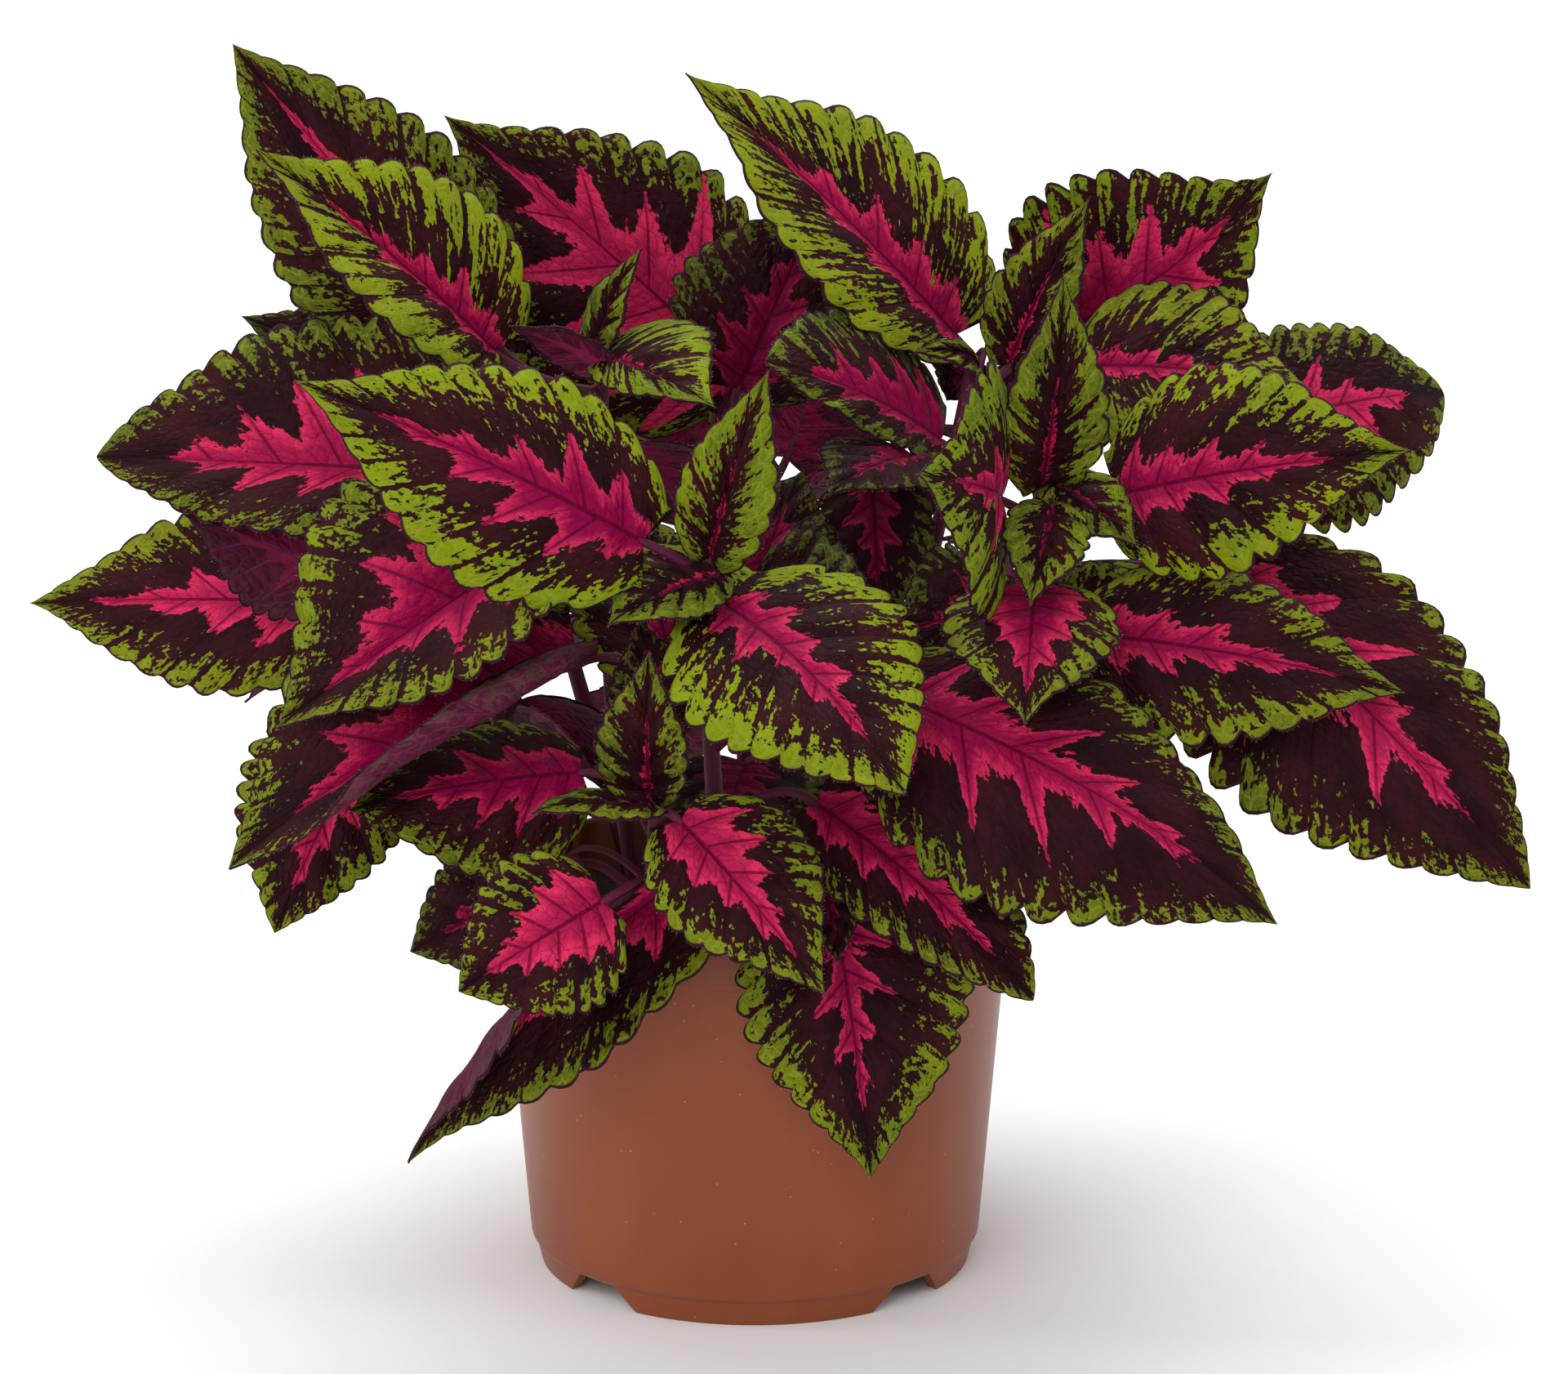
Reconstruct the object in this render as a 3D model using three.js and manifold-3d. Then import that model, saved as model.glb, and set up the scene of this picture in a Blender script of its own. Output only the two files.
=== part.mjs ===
// A coleus in its pot: leafy shoots with scalloped, pointed leaves rise from the soil of a tapered
// plastic pot on four short feet. Millimetres, +Z up, the pot stands on z = 0 round the Z axis.
import * as THREE from "three";
import { mergeVertices } from "three/addons/utils/BufferGeometryUtils.js";
import Module from "manifold-3d";

const wasm = await Module();
wasm.setup();

// ---- driving dimensions ------------------------------------------------------------------------

const POT_HEIGHT = 99;
const RIM_RADIUS = 65;
const RIM_BAND = 10.2; // height of the thicker band at the top
const RIM_EDGE = 0.6; // bevel at the rim's top edge
const BODY_TOP_RADIUS = 63.2; // just under the rim band
const BODY_FOOT_RADIUS = 56.3; // just above the step
const WALL = 1.6;
const FLOOR = 2.5; // thickness of the floor
const FOOT_HEIGHT = 6.4; // the feet, from the ground to the underside of the floor
const STEP_HEIGHT = 7.4; // where the body steps out over the feet
const FOOT_TOP_RADIUS = 55.2;
const FOOT_RADIUS = 53.8; // outside of a foot at the ground
const FOOT_WIDTH = 3.2; // how thick a foot is, measured inward
const FOOT_CORNER = 0.2; // bevel where a foot meets the step
const STEP_BEVEL = 0.6; // under the step's edge
const INSIDE_CORNER = 2; // bevel between the floor and the wall, inside
const FOOT_GAPS = 4;
const GAP_HALF_TOP = 6; // half the width of the space between two feet, at the floor
const GAP_HALF_GROUND = 12.5; // and at the ground: the ends of the feet are bevelled
const GAP_DEPTH = 20; // how far the space runs inward, past the foot
const GAP_BELOW = 1; // how far the cut runs on under the ground
const DRAIN_RADIUS = 4.5;
const DRAIN_RING = 34; // how far the ring of drains lies from the middle
const DRAINS = 6; // in the ring, and one more in the middle
const DRAIN_SIDES = 10;
const ROUND = 40; // sides of the turned pieces
const CLEARANCE = 0.35; // between pieces that stand in one another
const RIM_FOOT = POT_HEIGHT - RIM_BAND;
const FLOOR_TOP = FOOT_HEIGHT + FLOOR;

const SOIL_EDGE = 86; // height of the soil at the wall
const SOIL_RINGS = [[54, 88], [28, 90.5]]; // radius, height of its top
const SOIL_MIDDLE = 91.4;

const STEM_RADIUS = 3; // half the diagonal of a square stem at the soil
const STEM_TIP_RADIUS = 1.7;
const PETIOLE_RADIUS = 1.45;
const PETIOLE_END_RADIUS = 1.1;
const PETIOLE_REACH = 0.05; // share of the blade that the petiole runs on into it
const PETIOLE_SUNK = 0.1; // share of its radius that its end lies under the blade
const PETIOLE_CLIMB = 0.35; // how much it climbs for each millimetre that it crosses
const PETIOLE_SEAT = 2; // it leaves the stem at least this far under its blade and the stem's tip
const PETIOLE_BEND = 0.4; // how far its bend lies before the blade, as a share of its length
const LONG_PETIOLE = 35; // one longer than this has three steps, and a shorter one two
const YOUNG_PETIOLE = 0.75; // thickness of a small leaf's petiole, as a share
const BLADE = 0.9; // thickness of a blade
const SMOOTHED = 0.1; // slivers thinner than this, left by joining, are closed up

const WIDEST = 0.35; // share of the blade's length at which it is widest
const BASE_ROUND = 0.4; // roundness of the blade's base
const HEEL = -0.02; // share of the length at which the base's round stops
const VEIN_AT_MIDRIB = 1.5; // how the side veins crowd towards the base along the midrib
const VEIN_AT_MARGIN = 1.4; // and towards the tip along the margin
const CORDATE_SHARP = 8; // how near the petiole the lobes of a heart-shaped base stay
const FOLD_AT_BASE = 1.15;
const FOLD_LOST = 0.9; // how much of the fold is gone at the tip
const NOTCH = 0.1; // depth of the notches, as a share of the half width
const TEETH = { large: 7, middle: 5, small: 4 }; // teeth on each side of a blade
const LARGE = 62; // width from which a blade has the most teeth
const MIDDLE = 30;

// ---- the shoots --------------------------------------------------------------------------------

// Each shoot: the path of its stem from inside the soil to its growing tip, and its leaves.
// A leaf: where the blade starts, where its tip is, how wide it is, and which way its upper face
// looks. Shape words a leaf may add: arch (midrib bowed, share of length), fold (each half raised
// from the midrib, degrees), curl (margin bent down, degrees), skew (left half wider), taper
// (narrower tip), cordate (heart-shaped base), sway (midrib bent sideways).
const SHOOTS = {
  shoot_front: {
    stem: [[-8, -28, 70], [-9, -40, 120], [-11, -50, 165], [-11, -55, 191]],
    leaves: [
      { base: [-26, -60, 199], tip: [-107, -62, 238], width: 57, face: [0, -8, 5], skew: 0.05 },
      { base: [-51, -42, 193], tip: [-112, -70, 156], width: 80, face: [-3, -6, 7],
        arch: 0.02, fold: 34, skew: -0.06 },
      { base: [-42, -48, 166], tip: [-124, -72, 122], width: 80, face: [-4, -5, 8],
        fold: 38, skew: -0.08, taper: 1.1 },
      { base: [15, -58, 134], tip: [66, -86, 94], width: 39, face: [1, -8, 5],
        skew: 0.12, taper: 0.8, sway: 0.02 },
      { base: [32, -58, 161], tip: [124, -74, 109], width: 67, face: [1, -8, 6],
        arch: 0.12, fold: 2, skew: -0.13, taper: 1.1 },
      { base: [-10, -56, 194], tip: [4, -62, 241], width: 27, face: [-3, -9, 2], fold: 30, skew: -0.1 },
      { base: [-8, -58, 190], tip: [-34, -74, 182], width: 34, face: [-2, -5, 8], skew: -0.25 },
      { base: [-7, -62, 184], tip: [35, -105, 150], width: 62, face: [1, -7, 7],
        taper: 0.95, cordate: 0.12, sway: 0.03 },
      { base: [-1, -48, 175], tip: [36, -52, 174], width: 50, face: [0, -8, 5] },
      { base: [-4, -38, 166], tip: [12, 0, 202], width: 44, face: [0, -4, 9], arch: 0.08 },
      { base: [-18, -42, 160], tip: [-34, -4, 196], width: 42, face: [-1, -4, 9], arch: 0.08 },
    ],
  },
  shoot_right: {
    stem: [[34, -20, 70], [46, -25, 120], [60, -28, 165], [69, -30, 205]],
    leaves: [
      { base: [80, -36, 170], tip: [156, -46, 158], width: 48, face: [0, -8, 6], skew: -0.05 },
      { base: [88, -22, 201], tip: [155, -52, 219], width: 55, face: [0, -9, 5], skew: 0.05 },
      { base: [80, 8, 226], tip: [135, -5, 223], width: 54, face: [0, -7, 7] },
      { base: [69, -30, 206], tip: [73, -45, 260], width: 28, face: [2, -10, 2], fold: 28 },
      { base: [67, -45, 183], tip: [63, -92, 163], width: 43, face: [0, -4, 9], cordate: 0.14 },
      { base: [59, -35, 203], tip: [38, -85, 221], width: 62, face: [9, -4, 1], arch: 0.1 },
      { base: [72, -31, 206], tip: [91, -45, 194], width: 26, face: [1, -4, 9] },
      { base: [71, -44, 203], tip: [65, -66, 185], width: 22, face: [0, -9, 5], fold: 20 },
      { base: [61, -28, 175], tip: [32, -42, 171], width: 38, face: [0, -8, 5] },
      { base: [73, -15, 165], tip: [107, -5, 171], width: 30, face: [0, -8, 5] },
      { base: [60, -14, 186], tip: [64, 20, 172], width: 34, face: [1, 2, 10], arch: 0.08 },
    ],
  },
  shoot_low: {
    stem: [[-22, -40, 70], [-24, -48, 102], [-24, -60, 118], [-23, -76, 138]],
    leaves: [
      { base: [-41, -55, 141], tip: [-96, -60, 133], width: 50, face: [0, -7, 7],
        fold: -12, taper: 1.1 },
      { base: [-44, -50, 116], tip: [-83, -45, 93], width: 39, face: [0, -9, 4], taper: 1 },
      { base: [-35, -95, 121], tip: [-68, -107, 103], width: 42, face: [0, -9, 4], taper: 0.95 },
      { base: [-12, -72, 123], tip: [-83, -72, 48], width: 54, face: [4, -9, 0],
        fold: 26, curl: 24, skew: -0.1, taper: 1.3, sway: -0.1 },
      { base: [18, -62, 115], tip: [28, -78, 47], width: 59, face: [2, -10, 3],
        skew: 0.08, taper: 1.15 },
      { base: [-17, -86, 138], tip: [17, -114, 104], width: 41, face: [1, -8, 6], skew: 0.05 },
      { base: [-24, -77, 141], tip: [-24, -84, 179], width: 24, face: [-2, -9, 3],
        fold: 25, skew: 0.08 },
      { base: [-23, -79, 139], tip: [-52, -90, 141], width: 28, face: [0, 0, 10] },
      { base: [-21, -58, 151], tip: [-27, -56, 179], width: 24, face: [0, -9, 4] },
      { base: [-43, -60, 123], tip: [-68, -62, 112], width: 26, face: [0, 10, 0] },
      { base: [16, -63, 116], tip: [20, -76, 100], width: 16, face: [4, -9, 2] },
    ],
  },
  shoot_left_rear: {
    stem: [[-26, 2, 70], [-34, 4, 130], [-37, 5, 190], [-37, 5, 229]],
    leaves: [
      { base: [-68, 30, 231], tip: [-128, 35, 301], width: 57, face: [-3, -9, 4],
        fold: 15, skew: 0.06, taper: 1.1 },
      { base: [-63, 2, 231], tip: [-119, -10, 283], width: 54, face: [4, -6, 6], arch: 0.03, fold: 33 },
      { base: [-39, 4, 229], tip: [-27, 0, 257], width: 16, face: [-8, -6, 2], fold: 20 },
      { base: [-37, 0, 230], tip: [-9, -38, 226], width: 30, face: [-1, -7, 7], fold: 10, skew: 0.4 },
      { base: [-35, -4, 227], tip: [-59, -10, 240], width: 13, face: [0, 9, 5], fold: 10 },
      { base: [-42, 18, 186], tip: [-72, 50, 168], width: 42, face: [-2, 3, 9], arch: 0.08 },
      { base: [-32, 14, 204], tip: [-14, 46, 172], width: 44, face: [0, 4, 9], arch: 0.08 },
    ],
  },
  shoot_right_rear: {
    stem: [[20, 14, 70], [34, 18, 130], [46, 20, 185], [54, 20, 226]],
    leaves: [
      { base: [50, 45, 226], tip: [-17, 40, 293], width: 62, face: [4, -6, 6],
        fold: 25, skew: -0.03, taper: 1.35, sway: 0.03 },
      { base: [74, 45, 226], tip: [127, 25, 271], width: 70, face: [0, -9, 4],
        fold: 5, curl: 10, taper: 1.4, sway: -0.07 },
      { base: [55, 15, 224], tip: [38, 5, 230], width: 9, face: [0, -7, 7], arch: 0.2 },
      { base: [63, 20, 224], tip: [82, 18, 266], width: 25, face: [-4, -9, 2], fold: 25 },
      { base: [46, 18, 205], tip: [3, -14, 232], width: 42, face: [0, -7, 7], skew: -0.42, taper: 0.7 },
      { base: [39, 0, 205], tip: [18, -35, 204], width: 34, face: [0, -4, 9] },
      { base: [29, 10, 199], tip: [31, -8, 161], width: 31, face: [0, -9, 4] },
      { base: [55, 44, 220], tip: [48, 46, 209], width: 20, face: [0, -9, 4] },
      { base: [56, 30, 202], tip: [62, 64, 192], width: 40, face: [1, 3, 9], arch: 0.08 },
    ],
  },
  shoot_left: {
    stem: [[-42, -8, 70], [-54, -6, 110], [-66, 0, 150], [-72, 6, 186]],
    leaves: [
      { base: [-72, -5, 202], tip: [-161, 5, 204], width: 67, face: [-1, -7, 7],
        arch: 0.01, fold: 25, skew: -0.25, taper: 0.8 },
      { base: [-80, 30, 211], tip: [-127, 30, 234], width: 36, face: [0, -8, 5] },
      { base: [-100, 14, 165], tip: [-183, 40, 158], width: 49, face: [-1, -9, 4] },
      { base: [-101, -5, 177], tip: [-139, -5, 192], width: 36, face: [0, 10, 0] },
      { base: [-94, -12, 139], tip: [-117, -30, 93], width: 45, face: [-1, -9, 4],
        skew: -0.15, taper: 1 },
      { base: [-84, 24, 150], tip: [-130, 48, 130], width: 46, face: [-4, 3, 9], arch: 0.08 },
      { base: [-72, 24, 136], tip: [-112, 48, 106], width: 44, face: [-5, 4, 8], arch: 0.08 },
      { base: [-62, 6, 142], tip: [-44, 36, 110], width: 38, face: [1, 4, 8], arch: 0.08 },
    ],
  },
  shoot_right_low: {
    stem: [[44, 6, 70], [55, 8, 102], [80, 8, 140], [100, 8, 184]],
    leaves: [
      { base: [114, -10, 178], tip: [186, -55, 112], width: 72, face: [2, -9, 4],
        skew: -0.12, taper: 0.95 },
      { base: [115, 8, 208], tip: [171, 30, 214], width: 56, face: [-2, -9, 4],
        arch: 0.18, fold: 0, skew: -0.1, taper: 0.7 },
      { base: [106, 18, 158], tip: [150, 50, 132], width: 48, face: [4, 4, 8], arch: 0.08 },
      { base: [104, 20, 188], tip: [146, 58, 186], width: 50, face: [1, 1, 10], arch: 0.08 },
      { base: [76, 28, 130], tip: [108, 52, 106], width: 42, face: [5, 4, 7], arch: 0.08 },
      { base: [96, 18, 164], tip: [98, 52, 156], width: 40, face: [1, 3, 9], arch: 0.08 },
    ],
  },
  shoot_rear: {
    stem: [[0, 30, 70], [-3, 46, 130], [-4, 58, 180], [-4, 64, 206]],
    leaves: [
      { base: [-6, 75, 211], tip: [-78, 65, 278], width: 76, face: [1, -9, 4], skew: 0.08 },
      { base: [-4, 52, 211], tip: [18, 62, 260], width: 50, face: [1, -9, 4], skew: 0.05 },
      { base: [0, 76, 207], tip: [10, 88, 234], width: 20, face: [0, 9, 4], arch: 0.08 },
      { base: [-15, 82, 190], tip: [-54, 100, 246], width: 54, face: [-2, 8, 5], arch: 0.08 },
      { base: [8, 82, 186], tip: [34, 102, 244], width: 56, face: [1, 9, 5], arch: 0.08 },
      { base: [-14, 78, 184], tip: [-62, 108, 176], width: 56, face: [-2, 6, 8], arch: 0.08 },
      { base: [12, 80, 180], tip: [54, 112, 168], width: 54, face: [2, 6, 8], arch: 0.08 },
      { base: [-2, 80, 160], tip: [-6, 117, 122], width: 56, face: [0, 9, 5], arch: 0.08 },
      { base: [-20, 68, 128], tip: [-34, 102, 88], width: 46, face: [-1, 9, 5], arch: 0.08 },
      { base: [16, 70, 124], tip: [10, 104, 84], width: 44, face: [0, 9, 4], arch: 0.08 },
      { base: [2, 26, 124], tip: [0, -14, 110], width: 46, face: [0, -1, 10], arch: 0.08 },
    ],
  },
  shoot_rear_left: {
    stem: [[-26, 32, 70], [-38, 46, 110], [-52, 56, 160], [-58, 60, 196]],
    leaves: [
      { base: [-58, 64, 197], tip: [-66, 74, 222], width: 20, face: [0, 8, 6], arch: 0.08 },
      { base: [-66, 62, 188], tip: [-114, 84, 204], width: 50, face: [-3, 6, 7], arch: 0.08 },
      { base: [-60, 70, 176], tip: [-88, 112, 160], width: 54, face: [-3, 6, 7], arch: 0.08 },
      { base: [-68, 58, 164], tip: [-126, 78, 146], width: 52, face: [-4, 4, 8], arch: 0.08 },
      { base: [-54, 66, 146], tip: [-74, 108, 112], width: 54, face: [-3, 7, 6], arch: 0.08 },
      { base: [-50, 56, 124], tip: [-98, 76, 92], width: 44, face: [-5, 5, 7], arch: 0.08 },
    ],
  },
  shoot_rear_right: {
    stem: [[26, 34, 70], [38, 48, 110], [54, 58, 160], [60, 62, 190]],
    leaves: [
      { base: [60, 66, 191], tip: [68, 76, 216], width: 20, face: [0, 8, 6], arch: 0.08 },
      { base: [66, 68, 188], tip: [114, 92, 202], width: 52, face: [3, 6, 7], arch: 0.08 },
      { base: [72, 62, 160], tip: [128, 84, 146], width: 54, face: [4, 4, 8], arch: 0.08 },
      { base: [60, 72, 156], tip: [82, 113, 134], width: 54, face: [2, 7, 7], arch: 0.08 },
      { base: [52, 60, 134], tip: [96, 84, 104], width: 48, face: [5, 6, 6], arch: 0.08 },
      { base: [36, 72, 140], tip: [46, 112, 108], width: 50, face: [1, 8, 6], arch: 0.08 },
    ],
  },
};

// ---- small helpers -----------------------------------------------------------------------------

const vec = (p) => new THREE.Vector3(...p);
const radians = THREE.MathUtils.degToRad;
const lerp = THREE.MathUtils.lerp;

// A closed solid from a list of points and a list of triangles that face out.
function solidOf(points, triangles) {
  const geometry = new THREE.BufferGeometry().setFromPoints(points).setIndex(triangles.flat());
  return solidOfGeometry(geometry);
}

function solidOfGeometry(geometry) {
  const bare = geometry.clone();
  bare.deleteAttribute("normal");
  bare.deleteAttribute("uv");
  const merged = mergeVertices(bare, 1e-4);
  return new wasm.Manifold(
    new wasm.Mesh({
      numProp: 3,
      vertProperties: new Float32Array(merged.attributes.position.array),
      triVerts: new Uint32Array(merged.index.array),
    }),
  );
}

function geometryOf(solid) {
  const mesh = solid.getMesh();
  const geometry = new THREE.BufferGeometry();
  geometry.setAttribute("position", new THREE.BufferAttribute(mesh.vertProperties, 3));
  geometry.setIndex(new THREE.BufferAttribute(mesh.triVerts, 1));
  geometry.computeVertexNormals();
  return geometry;
}

// Turns a profile of [radius, height] pairs round the Z axis. It starts and ends on the axis.
function turned(profile, sides = ROUND) {
  const points = [new THREE.Vector3(0, 0, profile[0][1])];
  const inner = profile.slice(1, -1);
  for (const [radius, height] of inner) {
    for (let i = 0; i < sides; i++) {
      const angle = (2 * Math.PI * i) / sides;
      points.push(new THREE.Vector3(radius * Math.cos(angle), radius * Math.sin(angle), height));
    }
  }
  points.push(new THREE.Vector3(0, 0, profile.at(-1)[1]));
  const last = points.length - 1;
  const at = (ring, i) => 1 + ring * sides + (i % sides);
  const triangles = [];
  for (let i = 0; i < sides; i++) {
    triangles.push([0, at(0, i + 1), at(0, i)]);
    triangles.push([last, at(inner.length - 1, i), at(inner.length - 1, i + 1)]);
    for (let ring = 0; ring < inner.length - 1; ring++) {
      triangles.push([at(ring, i), at(ring, i + 1), at(ring + 1, i + 1)]);
      triangles.push([at(ring, i), at(ring + 1, i + 1), at(ring + 1, i)]);
    }
  }
  return solidOf(points, triangles);
}

// A square rod along a path, its half diagonal going from one radius to another.
function rod(path, radii, up) {
  const points = [];
  path.forEach((point, i) => {
    const before = path[Math.max(i - 1, 0)];
    const after = path[Math.min(i + 1, path.length - 1)];
    const along = after.clone().sub(before).normalize();
    const side = along.clone().cross(up).normalize();
    const over = side.clone().cross(along);
    const radius = radii[i];
    for (const [a, b] of [[1, 0], [0, 1], [-1, 0], [0, -1]]) {
      points.push(point.clone().addScaledVector(side, a * radius).addScaledVector(over, b * radius));
    }
  });
  const triangles = [[0, 1, 2], [0, 2, 3]];
  for (let ring = 0; ring < path.length - 1; ring++) {
    for (let i = 0; i < 4; i++) {
      const a = ring * 4 + i;
      const b = ring * 4 + ((i + 1) % 4);
      triangles.push([a, a + 4, b], [b, a + 4, b + 4]);
    }
  }
  const end = (path.length - 1) * 4;
  triangles.push([end, end + 2, end + 1], [end, end + 3, end + 2]);
  return solidOf(points, triangles);
}

// ---- a leaf blade ------------------------------------------------------------------------------

const PLAIN = { arch: 0.06, fold: 12, curl: -15, skew: 0, taper: 1.3, cordate: 0.04, sway: 0 };

// Half width of the outline, as a share, at a share s of the length.
function outline(s, taper) {
  if (s < WIDEST) return Math.sqrt(1 - ((WIDEST - Math.max(s, HEEL)) / BASE_ROUND) ** 2);
  return Math.cos(((s - WIDEST) / (1 - WIDEST)) * (Math.PI / 2)) ** taper;
}

// The blade's own axes: along to the tip, out of its upper face, and to its left.
function axesOf(leaf) {
  const base = vec(leaf.base);
  const along = vec(leaf.tip).sub(base);
  const length = along.length();
  along.divideScalar(length);
  const out = vec(leaf.face);
  out.addScaledVector(along, -out.dot(along)).normalize();
  return { base, along, out, left: out.clone().cross(along), length };
}

// A point of the blade's middle surface. Rows of constant u follow the side veins, which leave the
// midrib and run towards the tip; t goes from -1 at the right margin over the midrib to 1.
function bladePoint(leaf, u, t, notch = 1) {
  const { base, along, out, left, length } = leaf.axes;
  const across = Math.abs(t);
  const onMidrib = u ** VEIN_AT_MIDRIB;
  const onMargin = 1 - (1 - u) ** VEIN_AT_MARGIN - leaf.cordate * (1 - u) ** CORDATE_SHARP;
  const s = onMidrib + (onMargin - onMidrib) * across;
  const half = leaf.width / 2;
  const reach = across * half * outline(onMargin, leaf.taper) * (1 + leaf.skew * Math.sign(t)) * notch;
  const slope = leaf.arch * 4 * (1 - 2 * s);
  const point = base.clone().addScaledVector(along, s * length);
  point.addScaledVector(out, leaf.arch * 4 * s * (1 - s) * length);
  point.addScaledVector(left, leaf.sway * 4 * s * (1 - s) * length);
  const rise = out.clone().addScaledVector(along, -slope).normalize();
  const fold = radians(leaf.fold) * Math.max(FOLD_AT_BASE - FOLD_LOST * s * s, 0);
  const angle = fold + radians(leaf.curl) * (reach / half);
  point.addScaledVector(left, Math.sign(t) * reach * Math.cos(angle));
  return point.addScaledVector(rise, reach * Math.sin(angle));
}

// The blade as a closed solid: an upper and a lower skin with the same triangles, and a rim.
function blade(leaf) {
  const teeth = leaf.width > LARGE ? TEETH.large : leaf.width > MIDDLE ? TEETH.middle : TEETH.small;
  const skin = [];
  const place = (u, t, notch) => skin.push(bladePoint(leaf, u, t, notch)) - 1;
  const midrib = [];
  for (let k = 0; k <= teeth; k++) midrib.push(place(k / teeth, 0, 1));
  const tip = midrib[teeth];
  const margins = [1, -1].map((t) => {
    const margin = [];
    for (let k = 0; k < teeth; k++) {
      margin.push(place(k / teeth, t, 1 - NOTCH), place((k + 0.5) / teeth, t, 1));
    }
    return [...margin, tip];
  });
  const faces = [];
  margins.forEach((margin, side) => {
    for (let k = 0; k < teeth; k++) {
      const tooth = [
        [midrib[k], margin[2 * k], margin[2 * k + 1]],
        [midrib[k], margin[2 * k + 1], midrib[k + 1]],
        [midrib[k + 1], margin[2 * k + 1], margin[2 * k + 2]],
      ];
      if (k === teeth - 1) tooth.pop();
      faces.push(...tooth.map(([a, b, c]) => (side === 0 ? [a, c, b] : [a, b, c])));
    }
  });
  const ring = [midrib[0], ...margins[1], ...margins[0].slice(0, -1).reverse()];
  return thickened(skin, faces, ring);
}

// Two skins half a blade's thickness above and below the given one, closed by a rim.
function thickened(skin, faces, ring) {
  const normals = skin.map(() => new THREE.Vector3());
  for (const [a, b, c] of faces) {
    const normal = skin[b].clone().sub(skin[a]).cross(skin[c].clone().sub(skin[a]));
    for (const i of [a, b, c]) normals[i].add(normal);
  }
  normals.forEach((normal) => normal.normalize());
  const upper = skin.map((p, i) => p.clone().addScaledVector(normals[i], BLADE / 2));
  const lower = skin.map((p, i) => p.clone().addScaledVector(normals[i], -BLADE / 2));
  const n = skin.length;
  const triangles = [...faces, ...faces.map(([a, b, c]) => [a + n, c + n, b + n])];
  ring.forEach((a, i) => {
    const b = ring[(i + 1) % ring.length];
    triangles.push([a, a + n, b + n], [a, b + n, b]);
  });
  return solidOf([...upper, ...lower], triangles);
}

// ---- a shoot -----------------------------------------------------------------------------------

// Where a petiole leaves the stem: below its blade by a share of the way it has to cross.
function onStem(stem, base) {
  const top = stem.at(-1);
  const away = Math.hypot(base.x - top.x, base.y - top.y);
  const height = Math.min(base.z - PETIOLE_CLIMB * away, top.z) - PETIOLE_SEAT;
  for (let i = 1; i < stem.length; i++) {
    if (stem[i].z >= height) {
      const share = (height - stem[i - 1].z) / (stem[i].z - stem[i - 1].z);
      return stem[i - 1].clone().lerp(stem[i], Math.max(share, 0));
    }
  }
  return top.clone();
}

function petiole(stem, leaf) {
  const { base, along, out, length } = leaf.axes;
  const start = onStem(stem, base);
  const knee = base.clone().addScaledVector(along, -PETIOLE_BEND * start.distanceTo(base));
  const bend = new THREE.QuadraticBezierCurve3(start, knee, base);
  const path = bend.getPoints(start.distanceTo(base) > LONG_PETIOLE ? 3 : 2);
  const reach = PETIOLE_REACH ** (1 / VEIN_AT_MIDRIB);
  path.push(bladePoint(leaf, reach, 0).addScaledVector(out, -PETIOLE_SUNK * PETIOLE_END_RADIUS));
  const size = leaf.width < MIDDLE ? YOUNG_PETIOLE : 1;
  const radii = path.map((_, i) => {
    return size * lerp(PETIOLE_RADIUS, PETIOLE_END_RADIUS, i / (path.length - 1));
  });
  return rod(path, radii, out);
}

function shoot({ stem, leaves }) {
  const path = stem.map(vec);
  const radii = path.map((_, i) => lerp(STEM_RADIUS, STEM_TIP_RADIUS, i / (path.length - 1)));
  const parts = [rod(path, radii, vec([0, 1, 0]))];
  for (const row of leaves) {
    const leaf = { ...PLAIN, ...row, axes: axesOf(row) };
    parts.push(blade(leaf), petiole(path, leaf));
  }
  return wasm.Manifold.union(parts).asOriginal().simplify(SMOOTHED);
}

// ---- the pot and the soil ----------------------------------------------------------------------

// Outside radius of the wall, under the rim band.
function outerRadius(height) {
  const share = (height - STEP_HEIGHT) / (RIM_FOOT - STEP_HEIGHT);
  return lerp(BODY_FOOT_RADIUS, BODY_TOP_RADIUS, share);
}

// Inside radius of the wall, which runs straight from the corner at the floor to the rim's top.
function innerRadius(height) {
  const foot = FLOOR_TOP + INSIDE_CORNER;
  const share = (height - foot) / (POT_HEIGHT - foot);
  return lerp(outerRadius(FLOOR_TOP), BODY_TOP_RADIUS, share) - WALL;
}

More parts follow.
